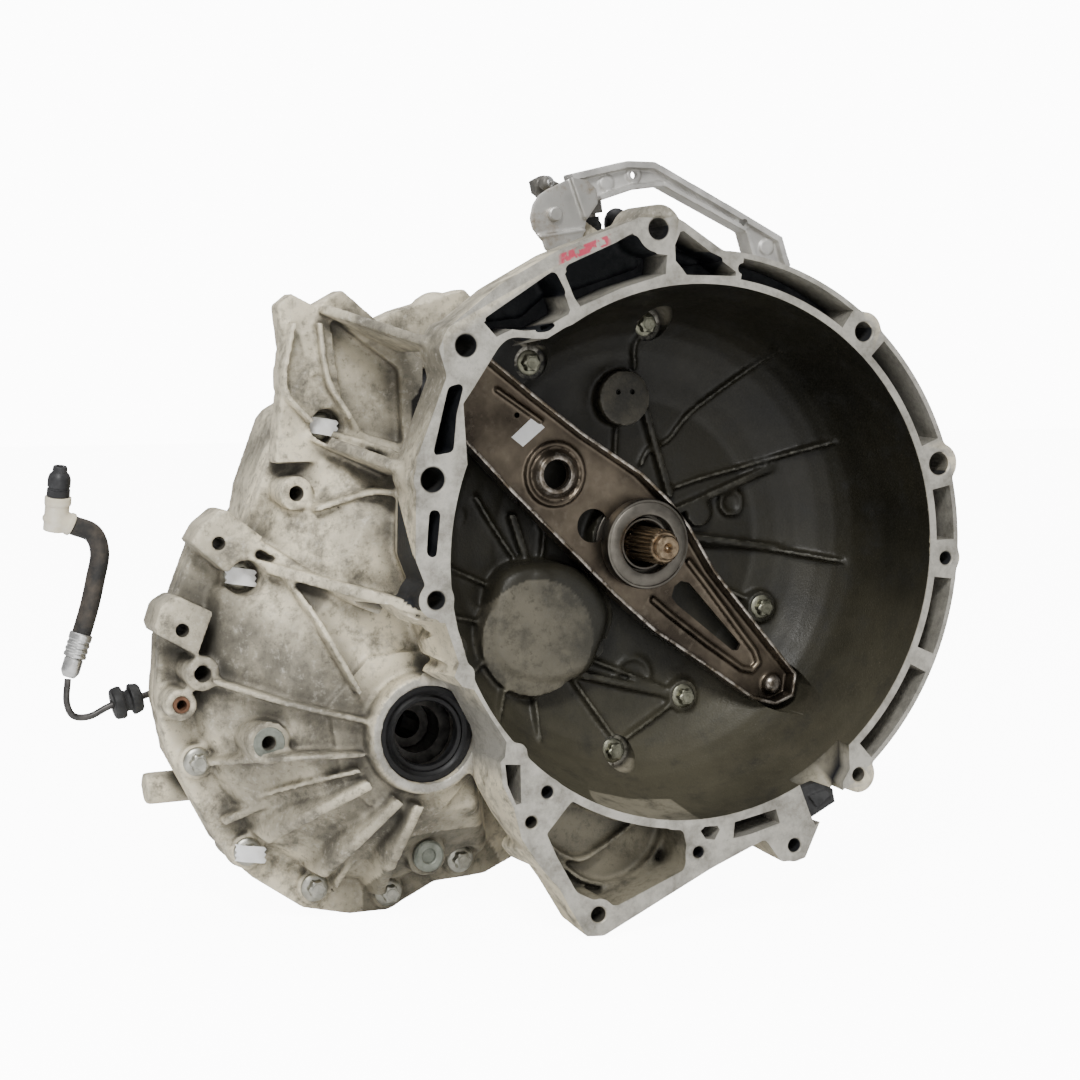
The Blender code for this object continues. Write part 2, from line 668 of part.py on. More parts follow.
def input_shaft():
    spline_teeth, spline_r, core_r = 14, 11.3, 9.8
    spline = []
    for tooth in range(spline_teeth):
        middle = tooth * 360 / spline_teeth
        for radius, offset in ((core_r, -9), (spline_r, -6), (spline_r, 6), (core_r, 9)):
            spline.append(polar(radius, middle + offset))
    shaft = turned([
        (0, 46), (7, 46), (8, 47), (8, 51), (9, 51.5), (9, 84), (13, 92), (15, 112), (15, 127),
        (13, 128), (13, 335), (12, 336), (12, 348), (0, 348),
    ], segments=16)
    shaft = fuse(shaft, prism(spline, 51.5, 86))
    clusters = []
    for station, teeth in DRIVE_TEETH.items():
        clusters.append(gear(teeth, INPUT_AXIS, 0, station, 0))
    clusters.append(gear(REVERSE_PINION, INPUT_AXIS, 0, "reverse", 0))
    shaft = fuse(shaft, *clusters)
    body = joint_empty("input_shaft_axis", (0, 130, 0))
    return finish(shaft, "input_shaft", "gear_steel", body)


def output_shaft():
    tooth_angle = meshed_angle(RING_GEAR, 0, DIFF_AXIS, FINAL_PINION, OUTPUT_AXIS)
    shaft = turned([
        (0, 99), (14, 99), (14, 116), (18, 117), (18, 336), (13, 337), (13, 348), (0, 348),
    ], OUTPUT_AXIS, 16)
    shaft = fuse(shaft, gear(FINAL_PINION, OUTPUT_AXIS, tooth_angle, "final", 0))
    hubs = []
    for station in ("sleeve_12", "sleeve_34", "sleeve_5r"):
        front, back = STATIONS[station]
        hubs.append(disc(OUTPUT_AXIS, HUB_R, front - 2, back + 2))
    shaft = fuse(shaft, *hubs)
    body = joint_empty("output_shaft_axis", (OUTPUT_AXIS[0], 130, OUTPUT_AXIS[1]))
    return finish(shaft, "output_shaft", "gear_steel", body), body


def driven_gears():
    for station, drive in DRIVE_TEETH.items():
        teeth = TEETH_PER_PAIR - drive
        angle = meshed_angle(drive, 0, INPUT_AXIS, teeth, OUTPUT_AXIS)
        body = joint_empty(f"{station}_gear_axis", (OUTPUT_AXIS[0], STATIONS[station][0], OUTPUT_AXIS[1]))
        finish(gear(teeth, OUTPUT_AXIS, angle, station, 18 + 2 * GAP), f"{station}_gear", "gear_steel", body)


def idler_axis():
    """Centre of the reverse idler, in mesh with the input pinion and the reverse gear."""
    to_input = MODULE * (REVERSE_PINION + REVERSE_IDLER) / 2
    to_output = MODULE * (REVERSE_IDLER + REVERSE_GEAR) / 2
    along = (to_input**2 - to_output**2 + SHAFT_DISTANCE**2) / (2 * SHAFT_DISTANCE)
    aside = math.sqrt(to_input**2 - along**2)
    unit = Vector(OUTPUT_AXIS) / SHAFT_DISTANCE
    return (unit.x * along + unit.y * aside, unit.y * along - unit.x * aside)


def reverse_train():
    at = idler_axis()
    idler_angle = meshed_angle(REVERSE_PINION, 0, INPUT_AXIS, REVERSE_IDLER, at)
    gear_angle = meshed_angle(REVERSE_IDLER, idler_angle, at, REVERSE_GEAR, OUTPUT_AXIS)
    idler_body = joint_empty("reverse_idler_axis", (at[0], STATIONS["reverse"][0], at[1]))
    idler = gear(REVERSE_IDLER, at, idler_angle, "reverse", 0)
    idler = fuse(idler, disc(at, 8, 319.5, 348, 12))
    finish(idler, "reverse_idler_gear", "gear_steel", idler_body)
    gear_body = joint_empty("reverse_gear_axis", (OUTPUT_AXIS[0], STATIONS["reverse"][0], OUTPUT_AXIS[1]))
    blank = gear(REVERSE_GEAR, OUTPUT_AXIS, gear_angle, "reverse", 18 + 2 * GAP)
    finish(blank, "reverse_gear", "gear_steel", gear_body)


def sleeves_and_forks():
    """Three synchro sleeves with the groove that a fork rides in, and their forks on the rail."""
    for station in ("sleeve_12", "sleeve_34", "sleeve_5r"):
        front, back = STATIONS[station]
        middle = (front + back) / 2
        at = (OUTPUT_AXIS[0], middle, OUTPUT_AXIS[1])
        sleeve = turned([
            (HUB_R + GAP, front), (SLEEVE_OUTER_R, front), (SLEEVE_OUTER_R, middle - 3.5), (41, middle - 3.5),
            (41, middle + 3.5), (SLEEVE_OUTER_R, middle + 3.5), (SLEEVE_OUTER_R, back), (HUB_R + GAP, back),
        ], OUTPUT_AXIS, 16)
        finish(sleeve, f"synchro_{station}", "machined_steel", joint_empty(f"{station}_slide", at))
        fork_body = joint_empty(f"{station}_fork_slide", (RAIL_AXIS[0], middle, RAIL_AXIS[1]))
        claw = arc(52, -20, 158, 10, OUTPUT_AXIS)
        inner = arc(41 + 2 * GAP, 158, -20, 10, OUTPUT_AXIS)
        fork = prism(claw + inner, middle - 2.8, middle + 2.8)
        arm = prism([(-86, -26), (-20, 92), (2, 86), (-26, -40), (-56, -30)], middle - 2.6, middle + 2.6)
        arm = cut(arm, disc(OUTPUT_AXIS, 46, middle - 4, middle + 4, 20))
        hub = disc(RAIL_AXIS, 13, middle - 9, middle + 9)
        fork = fuse(fork, arm, hub)
        fork = cut(fork, disc(RAIL_AXIS, 7 + GAP, middle - 12, middle + 12, 16))
        finish(fork, f"{station}_fork".replace("sleeve", "shift"), "bronze", fork_body)


def bearings():
    """Six bearings, each one closed ring from its seat to its shaft."""
    seats = (
        ("input_front_bearing", INPUT_AXIS, 26, 15, 113, 126),
        ("input_rear_bearing", INPUT_AXIS, 24, 12, 337, 348),
        ("output_front_bearing", OUTPUT_AXIS, 28, 14, 99, 114),
        ("output_rear_bearing", OUTPUT_AXIS, 26, 13, 338, 348),
        ("diff_right_bearing", DIFF_AXIS, 32, 22, 67, 82),
        ("diff_left_bearing", DIFF_AXIS, 32, 22, 178, 194),
    )
    for name, axis, outer, inner, front, back in seats:
        finish(tube(axis, outer, inner + 1.5 * GAP, front, back, 16), name, "bearing_steel")


def differential():
    """Case with its cavity and windows, ring gear, two side gears, two planets and their pin."""
    body = joint_empty("differential_axis", (DIFF_AXIS[0], 130, DIFF_AXIS[1]))
    middle = 130
    case = turned([
        (0, 67), (22, 67), (22, 86), (43, 100), (45, 104), (45, 122), (60, 122), (60, 131.7),
        (45, 131.7), (45, 158), (40, 164), (22, 177), (22, 194), (0, 194),
    ], DIFF_AXIS, 20)
    case = cut(
        case,
        turned([(0, 98), (26, 98), (34, 108), (34, 152), (26, 162), (0, 162)], DIFF_AXIS, 20),
        disc(DIFF_AXIS, 15, 60, 200, 16),
        box((DIFF_AXIS[0] - 50, 106, DIFF_AXIS[1] - 16), (DIFF_AXIS[0] + 50, 120, DIFF_AXIS[1] + 16)),
        rod((DIFF_AXIS[0], middle, DIFF_AXIS[1] - 50), (DIFF_AXIS[0], middle, DIFF_AXIS[1] + 50), 7 + GAP, 16),
    )
    finish(case, "differential_case", "machined_steel", body)
    front, back = STATIONS["final"]
    ring = prism(gear_outline(RING_GEAR, DIFF_AXIS, 0), front, back)
    ring = cut(ring, disc(DIFF_AXIS, 45 + 2 * GAP, front - 1, back + 1, 24))
    finish(ring, "ring_gear", "gear_steel", body)
    for name, face, tip in (("right", 100, 118), ("left", 160, 142)):
        side_body = joint_empty(f"side_gear_{name}_axis", (DIFF_AXIS[0], face, DIFF_AXIS[1]))
        teeth = [polar(radius, 45 * tooth + offset, DIFF_AXIS)
                 for tooth in range(8)
                 for radius, offset in ((21, -14), (26, -7), (26, 7), (21, 14))]
        side = loft([(face, scaled(teeth, 0.98, DIFF_AXIS)), (tip, scaled(teeth, 0.52, DIFF_AXIS))])
        outward = -1 if name == "right" else 1
        hub = sorted((face - outward * 0.5, face + outward * 14))
        side = fuse(side, disc(DIFF_AXIS, 14.5, *hub))
        side = cut(side, disc(DIFF_AXIS, 9, min(face, tip) - 20, max(face, tip) + 20, 16))
        finish(side, f"side_gear_{name}", "gear_steel", side_body)
    pin = rod((DIFF_AXIS[0], middle, DIFF_AXIS[1] - 44), (DIFF_AXIS[0], middle, DIFF_AXIS[1] + 44), 7, 16)
    finish(pin, "planet_pin", "machined_steel", body)
    for name, side in (("upper", 1), ("lower", -1)):
        planet_body = joint_empty(f"planet_{name}_axis", (DIFF_AXIS[0], middle, DIFF_AXIS[1] + 24 * side))
        cone = [polar(radius, 60 * tooth + offset) for tooth in range(6)
                for radius, offset in ((13.6, -18), (16.4, -9), (16.4, 9), (13.6, 18))]
        planet = loft([(14.8, scaled(cone, 0.78)), (28.6, cone)])
        planet = cut(planet, disc((0, 0), 7 + GAP, 10, 40, 16))
        placed(planet, (DIFF_AXIS[0], middle, DIFF_AXIS[1]), (0, 0, side))
        finish(planet, f"planet_gear_{name}", "gear_steel", planet_body)


# Clutch release ---------------------------------------------------------------------------------


def release_gear():
    """Guide sleeve, release bearing, fork, ball stud, slave cylinder and push rod."""
    sleeve = turned([(15, 80), (17, 80), (17, 92.6), (29, 92.6), (29, 95.7), (15, 95.7)], segments=20)
    finish(sleeve, "guide_sleeve", "machined_steel")

    carrier_body = joint_empty("release_bearing_axis", (0, 80, 0))
    carrier = turned([(17 + GAP, 84), (29, 84), (29, 85.5), (20, 86.5), (20, 91), (17 + GAP, 91)], segments=20)
    finish(carrier, "release_bearing", "machined_steel", carrier_body)
    race = turned([
        (18.5, 74.5), (27.5, 74.5), (29.5, 76), (29.5, 83.5), (18.5, 83.5),
    ], segments=24)
    finish(race, "release_bearing_race", "bearing_steel", joint_empty("release_race_axis", (0, 78, 0)))

    fork_body = joint_empty("release_fork_pivot", FORK_BALL)
    rim = rounded([
        (-112, 122, 3), (-77, 95, 8), (-3, 45, 10), (31, 10, 14), (50, -20, 12), (113, -93, 3), (110, -107, 3),
        (97, -111, 3), (80, -106, 6), (7, -57, 16), (-50, -5, 16), (-94, 37, 8), (-126, 70, 3), (-142, 92, 3),
    ])
    fork = prism(rim, 78, 92)
    fork = cut(fork, prism(inset(rim, 2.5), 70, 89.5))
    seat = disc(FORK_BALL[::2], 9, 84, 91, 12)
    fork = fuse(fork, seat, tube((-60, 46), 17, 11, 86.5, 91, 14))
    window = rounded([(24, -38, 3), (36, -28, 3), (74, -72, 2)], 45)
    fork = cut(
        fork,
        disc(INPUT_AXIS, 31, 70, 89.4, 24),
        disc(INPUT_AXIS, 22, 70, 100, 20),
        disc((-33, 12), 14, 70, 100),
        disc((-60, 46), 9.5, 70, 100, 12),
        prism(window, 70, 100),
        disc(FORK_BALL[::2], 6, 87, 100, 12),
    )
    finish(fork, "release_fork", "pressed_steel", fork_body)

    x, y, z = FORK_BALL
    stud = turned([
        (0, 88), (4, 89), (5, 91), (3.6, 95), (7, 96), (7, 97.7), (5, 97.7), (5, 110), (0, 110),
    ], (x, z), 12)
    finish(stud, "fork_ball_stud", "machined_steel")

    cylinder = turned([
        (0, 164), (11, 164), (14.5, 160), (14.5, 106), (11, 100), (7.5, 100), (7.5, 142), (0, 142),
    ], SLAVE_AXIS, 20)
    cylinder = fuse(
        cylinder,
        prism(rounded([(-150, 76, 6), (-96, 76, 6), (-96, 104, 6), (-150, 104, 6)], 45), 142.9, 149),
        rod((-122, 156, 92), (-122, 156, 118), 7, 12),
    )
    finish(cylinder, "slave_cylinder", "black_plastic")
    rod_body = joint_empty("push_rod_axis", (SLAVE_AXIS[0], 92, SLAVE_AXIS[1]))
    push = turned([
        (0, 93), (2.5, 93.5), (3.5, 96), (3.5, 125), (7, 126), (7, 141.5), (0, 141.5),
    ], SLAVE_AXIS, 16)
    finish(push, "push_rod", "machined_steel", rod_body)


# Hydraulic line ---------------------------------------------------------------------------------

PIPE_ROUTE = (
    (-122, 164.5, 92), (-122, 176, 93), (-134, 206, 100), (-158, 240, 92), (-196, 262, 60), (-234, 262, 4),
    (-262, 248, -42), (-282, 222, -74), (-296, 184, -86), (-304, 158, -88), (-314, 147, -89.5),
    (-325, 146, -91.8), (-336, 146, -94.5), (-348, 146, -100), (-358, 146, -99), (-362, 146, -90), (-361, 146, -76),
)
HOSE_ROUTE = (
    (-352, 146, -48), (-347, 146, -32), (-343, 146, -15), (-340, 146, 1), (-344, 146, 13), (-356, 146, 18.5),
)
PIPE_R, HOSE_R = 2.1, 6.0


def smooth_route(points, per_span):
    """Catmull-Rom curve through hand-placed points."""
    ends = [2 * Vector(points[0]) - Vector(points[1]), 2 * Vector(points[-1]) - Vector(points[-2])]
    control = [ends[0], *map(Vector, points), ends[1]]
    route = []
    for p0, p1, p2, p3 in zip(control, control[1:], control[2:], control[3:]):
        for step in range(per_span):
            t = step / per_span
            route.append(0.5 * (2 * p1 + (p2 - p0) * t + (2 * p0 - 5 * p1 + 4 * p2 - p3) * t**2
                                + (3 * p1 - p0 - 3 * p2 + p3) * t**3))
    return [*route, Vector(points[-1])]


def bent_tube(points, radius, resolution):
    curve = bpy.data.curves.new("route", "CURVE")
    curve.dimensions = "3D"
    curve.bevel_depth = radius * MM
    curve.bevel_resolution = resolution
    curve.use_fill_caps = True
    spline = curve.splines.new("POLY")
    spline.points.add(len(points) - 1)
    for target, point in zip(spline.points, points):
        target.co = (*(point * MM), 1)
    obj = bpy.data.objects.new("route", curve)
    bpy.context.scene.collection.objects.link(obj)
    return obj


def finish_curve(obj, name, material_name):
    obj.name = obj.data.name = name
    obj.data.materials.append(material(material_name))


def hydraulic_line():
    """Steel pipe from the slave cylinder, its grommet, the crimp ferrule, the hose and its elbow."""
    finish_curve(bent_tube(smooth_route(PIPE_ROUTE, 2), PIPE_R, 1), "hydraulic_pipe", "pipe_steel")
    bore = PIPE_R + 3 * GAP
    grommet = turned([
        (bore, -9), (8.5, -9), (10, -3), (6.5, -1), (6.5, 1), (10.5, 3), (9.5, 9), (bore, 9),
    ], segments=14)
    finish(placed(grommet, (-325, 146, -91.7), (-1, 0, -0.22)), "pipe_grommet", "black_rubber")
    start, end = Vector(PIPE_ROUTE[-1]), Vector(HOSE_ROUTE[0])
    length = (end - start).length
    ferrule = turned([
        (0, 1.2), (4, 1.2), (6, 4), (6, 13), (7.2, 14), (7.2, length - GAP), (0, length - GAP),
    ], segments=16)
    finish(placed(ferrule, start, end - start), "hose_ferrule", "zinc_plate")
    finish_curve(bent_tube(smooth_route(HOSE_ROUTE, 3), HOSE_R, 2), "pressure_hose", "black_rubber")
    x, y, z = HOSE_ROUTE[-1]
    elbow = fuse(
        rod((x - 0.5, y, z + 0.2), (x - 9, y, z + 4), 6.8, 14),
        rod((x - 10.5, y + 2, z - 3), (x - 9, y - 2, z + 18), 8, 14),
    )
    finish(elbow, "hose_elbow", "white_plastic")
    connector = turned([
        (2, 8), (2, 19), (4, 19), (5.5, 15), (7, 11), (7, GAP), (0, GAP), (0, 8),
    ], segments=14)
    finish(placed(connector, (x - 9, y - 2, z + 18), (0.05, -0.22, 1)), "elbow_connector", "black_plastic")


# Gear selector ----------------------------------------------------------------------------------

SELECTOR_UP = Vector((-0.15, 0, 0.989)).normalized()
SELECTOR_SIDE = Vector((0.989, 0, 0.15)).normalized()
SELECTOR_SEAT = Vector((6, 172, 168))
SELECT_PIVOT = (-39, 140, 214)
FINGER_LENGTH = 13


def on_selector(obj, side=0.0):
    """Places an object made about the Y axis on the selector's axis, with its y as height."""
    axes = Matrix((SELECTOR_SIDE, SELECTOR_UP, Vector((0, -1, 0)))).transposed().to_4x4()
    obj.data.transform(Matrix.Translation((SELECTOR_SEAT + SELECTOR_SIDE * side) * MM) @ axes)
    return obj


def selector():
    """Shaft with its finger inside the housing, cover, boot, levers and the cable bracket."""
    cover = on_selector(turned([(0, GAP), (30, GAP), (30, 6), (17, 8), (12, 28), (0, 28)], segments=18))
    pivot_arm = prism(
        [(-47, 208), (-43, 222), (-30, 222), (-6, 206), (18, 190), (10, 178), (-4, 182)], 146, 155,
    )
    foot = prism([(-2, 184), (12, 182), (14, 190), (0, 195)], 148, 172)
    cover = fuse(cover, pivot_arm, foot)
    cover = cut(cover, disc(SELECT_PIVOT[::2], 4 + 2 * GAP, 140, 160, 10), on_selector(disc((0, 0), 7.6, -2, 30, 14)))
    finish(cover, "selector_cover", "cast_aluminium")

    shaft_body = joint_empty("selector_axis", SELECTOR_SEAT)
    shaft = on_selector(turned([(0, -73), (6, -73), (7, -72), (7, 62), (0, 62)], segments=14))
    root = SELECTOR_SEAT + SELECTOR_UP * -66
    finger = rod(root, root - SELECTOR_SIDE * FINGER_LENGTH, 4, 10)
    finish(fuse(shaft, finger), "selector_shaft", "machined_steel", shaft_body)
    boot = turned([(7.6, 28.5), (13, 28.5), (10, 33), (11, 38), (9, 47), (7.6, 47)], segments=14)
    finish(on_selector(boot), "selector_boot", "black_rubber")
    breather = turned([(0, 8.6), (4, 8.6), (4, 27), (9, 28), (9, 43), (6, 49), (0, 51)], segments=14)
    finish(on_selector(breather, 22.5), "breather_cap", "black_plastic")

    # Cast shift lever on top of the shaft, with its cable ball.
    lever = on_selector(turned([(7.5, 49), (12, 49), (12, 61), (7.5, 61)], segments=16))
    arm = prism([(-20, 216), (-12, 232), (-34, 242), (-42, 238), (-40, 230)], 167, 176)
    arm = cut(arm, on_selector(disc((0, 0), 10, 40, 80)))
    neck = rod((-36, 172, 236), (-36, 163, 236), 2.6, 10)
    ball = turned([(0, 0), (3.6, 1), (5, 4), (5, 6), (3.6, 9), (0, 10)], (-36, 236), 12)
    ball.data.transform(Matrix.Translation((0, 155 * MM, 0)))
    finish(fuse(lever, arm, neck, ball), "shift_lever", "cast_aluminium", shaft_body)

    # Stamped select lever: a bell crank with a folded ear and a bent foot, on its cross pin.
    crank_body = joint_empty("select_lever_axis", SELECT_PIVOT)
    crank = prism(rounded([
        (-56, 212, 3), (-52, 225, 5), (-26, 238, 3), (-15, 213, 3), (-18, 202, 3), (-48, 197, 3),
    ], 60), 138.6, 141.4)
    ear = prism([(-27, 237), (-16, 237), (-9, 231), (-8, 222), (-16, 212)], 136.2, 140.6)
    tab = prism([(-49, 199), (-18, 204), (-20, 194), (-35, 183), (-46, 191)], 137, 140.4)
    pin = disc(SELECT_PIVOT[::2], 4, 139, 158, 12)
    head = disc(SELECT_PIVOT[::2], 5, 135, 139.5, 12)
    finish(fuse(crank, ear, tab, pin, head), "select_lever", "zinc_plate", crank_body)

    # Arched bracket that carries the shift cables over the housing, bolted to the joint flange.
    bracket = prism([
        (-25, 241), (16, 251), (36, 251), (90, 225), (134, 203), (141, 183), (106, 82), (82, 100),
        (112, 184), (105, 206), (42, 235), (20, 232), (-4, 224),
    ], 142.7, 154)
    finish(bracket, "cable_bracket", "cast_aluminium")


# Seals, plugs, bolts ----------------------------------------------------------------------------


def seals_and_plugs():
    right = turned([(20, 49), (29.7, 49), (29.7, 58), (22, 58), (22, 53), (20, 52)], DIFF_AXIS, 20)
    finish(right, "right_drive_seal", "black_rubber")
    left = turned([(20, 218), (29.7, 218), (29.7, 208.5), (22, 208.5)], DIFF_AXIS, 20)
    finish(left, "left_drive_seal", "black_rubber")
    rail = rod((RAIL_AXIS[0], 114, RAIL_AXIS[1]), (RAIL_AXIS[0], 346, RAIL_AXIS[1]), 7, 16)
    finish(rail, "fork_rail", "machined_steel")
    plug = fuse(disc(DRAIN_AXIS, 10, 79.5, 83.7, 12), disc(DRAIN_AXIS, 4, 80, 98, 10))
    plug = cut(plug, disc(DRAIN_AXIS, 2.6, 70, 82, 6))
    finish(plug, "drain_plug", "zinc_plate")


def bolt(at, seat, length, name, point_front=True):
    """A flanged hexagon bolt along Y with its head in front of the seat."""
    body = turned([
        (0, seat - 9), (5, seat - 9), (5.8, seat - 8), (5.8, seat - 2.5), (9, seat - 1.8), (9, seat - GAP),
        (4, seat - GAP), (4, seat + length), (0, seat + length),
    ], at, 10)
    finish(body, name, "zinc_plate")


def bolts():
    for index, at in enumerate(JOINT_BOLTS[:JOINT_BOLT_NODES], 1):
        bolt(at, JOINT_SEAT_Y, 30, f"joint_bolt_{index}")
    for index, at in enumerate(BELL_BOLTS[:BELL_BOLT_NODES], 1):
        bolt(at, BELL_SEAT_Y, 42, f"bell_bolt_{index}")


clear_scene()
clutch_housing()
gear_housing()
input_shaft()
output_shaft()
driven_gears()
reverse_train()
sleeves_and_forks()
bearings()
differential()
release_gear()
hydraulic_line()
selector()
seals_and_plugs()
bolts()
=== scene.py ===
"""Looks for the manual transaxle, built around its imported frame.

The frame's axes are the part's own: the origin is where the input shaft's axis crosses the engine
face, +Y runs into the gearbox and +Z is up. Sizes in this file are millimetres unless a line says
otherwise, and every mesh is made in metres.
"""

import math

import bmesh
import bpy
import numpy as np
from mathutils import Matrix, Vector


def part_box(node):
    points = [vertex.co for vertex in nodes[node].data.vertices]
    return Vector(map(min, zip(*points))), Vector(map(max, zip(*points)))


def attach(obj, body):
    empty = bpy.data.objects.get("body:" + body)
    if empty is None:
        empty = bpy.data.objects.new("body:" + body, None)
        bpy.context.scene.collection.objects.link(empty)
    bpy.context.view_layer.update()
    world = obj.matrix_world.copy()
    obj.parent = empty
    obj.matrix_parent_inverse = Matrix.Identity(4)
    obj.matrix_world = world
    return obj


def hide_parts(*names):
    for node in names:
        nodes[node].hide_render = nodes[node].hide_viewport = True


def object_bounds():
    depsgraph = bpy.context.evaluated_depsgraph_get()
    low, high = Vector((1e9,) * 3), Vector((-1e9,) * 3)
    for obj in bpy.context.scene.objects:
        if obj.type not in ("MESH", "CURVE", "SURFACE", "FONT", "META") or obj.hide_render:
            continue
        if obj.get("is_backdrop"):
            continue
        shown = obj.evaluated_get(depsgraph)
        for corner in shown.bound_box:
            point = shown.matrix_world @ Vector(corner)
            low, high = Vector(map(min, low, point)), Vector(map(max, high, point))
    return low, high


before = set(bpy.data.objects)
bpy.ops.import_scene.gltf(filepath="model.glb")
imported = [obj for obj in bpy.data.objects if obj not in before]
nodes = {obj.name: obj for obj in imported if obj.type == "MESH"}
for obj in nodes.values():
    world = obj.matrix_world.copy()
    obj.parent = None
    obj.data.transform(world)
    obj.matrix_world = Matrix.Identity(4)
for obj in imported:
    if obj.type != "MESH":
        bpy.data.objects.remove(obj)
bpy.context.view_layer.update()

MM = 0.001


def polar(radius, degrees, centre=(0.0, 0.0)):
    """The point (x, z) at that radius and angle from a centre, counter-clockwise from +X."""
    angle = math.radians(degrees)
    return (centre[0] + radius * math.cos(angle), centre[1] + radius * math.sin(angle))


def linked(name, data):
    """A new object that holds the data, put into the scene."""
    obj = bpy.data.objects.new(name, data)
    bpy.context.scene.collection.objects.link(obj)
    return obj


# Places taken from the frame ----------------------------------------------------------------------


def middle(node):
    """The middle of a CAD node's box, in millimetres."""
    low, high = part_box(node)
    return (low + high) / 2 / MM


def axis_of(node):
    centre = middle(node)
    return (centre.x, centre.z)


INPUT_AXIS = (0.0, 0.0)
OUTPUT_AXIS = axis_of("output_rear_bearing")
DIFF_AXIS = axis_of("right_drive_seal")
DRAIN_AXIS = axis_of("drain_plug")
FORK_BALL = (99.0, 91.0, -99.0)
BELL_FLOOR_Y, JOINT_Y, HOUSING_END_Y = 108.0, 130.0, 362.0
BELL_SEAT_Y, JOINT_SEAT_Y = 101.2, 114.2
SPARE_Y = -3  # cast features start this far in front of the engine face, which is cut flat later
BELL_BOLTS = ((-74, 117), (8, 142), (97, -48), (38, -105), (-14, -138))
JOINT_BOLTS = ((-289, -127), (-258, -186), (-215, -213), (-166, -221), (-117, -204), (-262, -13), (-209, 78))
# Engine flange holes: angle, distance from the input axis, boss radius, hole radius.
FLANGE_BOLTS = (
    (98.8, 200.0, 14.5, 6.5),
    (50.3, 177.5, 12.5, 6.0),
    (17.0, 179.0, 13.0, 7.2),
    (-2.9, 177.5, 10.5, 4.2),
    (-52.0, 185.5, 11.5, 4.5),
    (-70.3, 199.5, 10.5, 4.2),
    (-90.3, 186.0, 9.5, 3.6),
    (-107.6, 229.0, 10.0, 4.8),
    (-125.9, 194.0, 9.0, 3.7),
    (-126.5, 173.7, 9.0, 3.7),
    (-173.3, 175.0, 11.0, 5.4),
    (164.1, 182.7, 12.0, 7.2),
    (140.5, 200.6, 15.0, 6.5),
)
# The bell's inside: radius at each depth, from the mouth round to the floor.
BELL_WALL = (
    (165.3, -3), (164.5, 10), (162.4, 28), (160, 46), (156.5, 60), (151.5, 73), (144.5, 84), (135.5, 93),
    (124, 100),
    (110, 104.5), (96, 107), (80, 108),
)

LAND_PADS = ((-156.4, -65.2), (-123.0, -114.6))  # undrilled half-round pads on the flange's lower left
# Open pockets between the bell's wall and the rim: first and last angle.
RIM_POCKETS = ((54.9, 81.5), (22.0, 45.6), (1.0, 12.1), (-22.8, -7.0), (-47.8, -26.8))
RIM_POCKET_RADII = (169.8, 183.0)
# Pockets in the flange's upper left, upper middle and bottom, as outlines on the engine face.
FACE_POCKETS = (
    ((-144, 141), (-139, 145), (-97, 167), (-95, 165), (-89, 148.5), (-90, 146), (-107, 137), (-118, 136),
     (-126, 137), (-136, 132.5)),
    ((-92.5, 169.5), (-91, 172), (-48.5, 194.5), (-46, 192.5), (-44, 187.5), (-37, 183), (-25, 182),
     (-26, 170.5),
     (-56, 161.5), (-82.5, 150.5), (-86.5, 156)),
    ((-16.5, 196), (-14, 196.5), (22, 172.5), (21.5, 170), (-12, 170.2), (-15.5, 174.5), (-19.5, 178.5),
     (-20, 188)),
    ((0, -172.5), (3, -170), (12, -170.2), (13.5, -173), (10, -179), (3.5, -177.8)),
    ((24, -169), (53.5, -163.2), (56.5, -172.5), (35, -177.8), (23, -179.3)),
    ((-131, -120.5), (-121, -121.5), (-120.5, -145), (-124, -145.5), (-129.5, -133)),
)
# Left edge of the machined face, and where the cast wall behind it starts 32 mm further back.
LAND_EDGE = (
    (-192, -24), (-180, -32), (-168.5, -34), (-160, -58), (-163, -66), (-158, -72), (-150.5, -74.5),
    (-140.5, -91),
    (-130, -107), (-131, -116), (-134, -119), (-132.5, -133), (-125.5, -147), (-123.5, -154), (-120, -167),
    (-110, -182), (-103, -191), (-95, -200), (-88, -213), (-79, -228),
)
LAND_BACK = (
    (-196, -24), (-186, -34), (-174, -40), (-167, -56), (-171, -65), (-160, -72), (-152, -76), (-145, -88),
    (-137, -103), (-134, -114), (-134, -119), (-133, -133), (-132.5, -147), (-131, -156), (-122, -170),
    (-112, -184), (-104, -193), (-96, -202), (-89, -214), (-80, -230),
)


# Camera, light, floor -----------------------------------------------------------------------------

CAMERA_AZIMUTH, CAMERA_ELEVATION = -23.15, 5.08
CAMERA_DISTANCE = 1.3
CAMERA_ASIDE, CAMERA_ABOVE = -0.0997, 0.0089
BACKDROP_WHITE = 12.0


def camera():
    azimuth, elevation = math.radians(CAMERA_AZIMUTH), math.radians(CAMERA_ELEVATION)
    level = math.cos(elevation)
    back = Vector((math.sin(azimuth) * level, -math.cos(azimuth) * level, math.sin(elevation)))
    right = Vector((math.cos(azimuth), math.sin(azimuth), 0))
    up = back.cross(right)
    data = bpy.data.cameras.new("camera")
    data.lens, data.sensor_width, data.clip_start = 70.6, 36, 0.01
    matrix = Matrix((right, up, back)).transposed().to_4x4()
    matrix.translation = back * CAMERA_DISTANCE + right * CAMERA_ASIDE + up * CAMERA_ABOVE
    obj = linked("camera", data)
    obj.matrix_world = matrix
    bpy.context.scene.camera = obj


def area_light(name, place, target, size, power):
    data = bpy.data.lights.new(name, "AREA")
    data.size, data.energy = size, power
    obj = linked(name, data)
    obj.location = place
    obj.rotation_euler = (Vector(target) - Vector(place)).to_track_quat("-Z", "Y").to_euler()


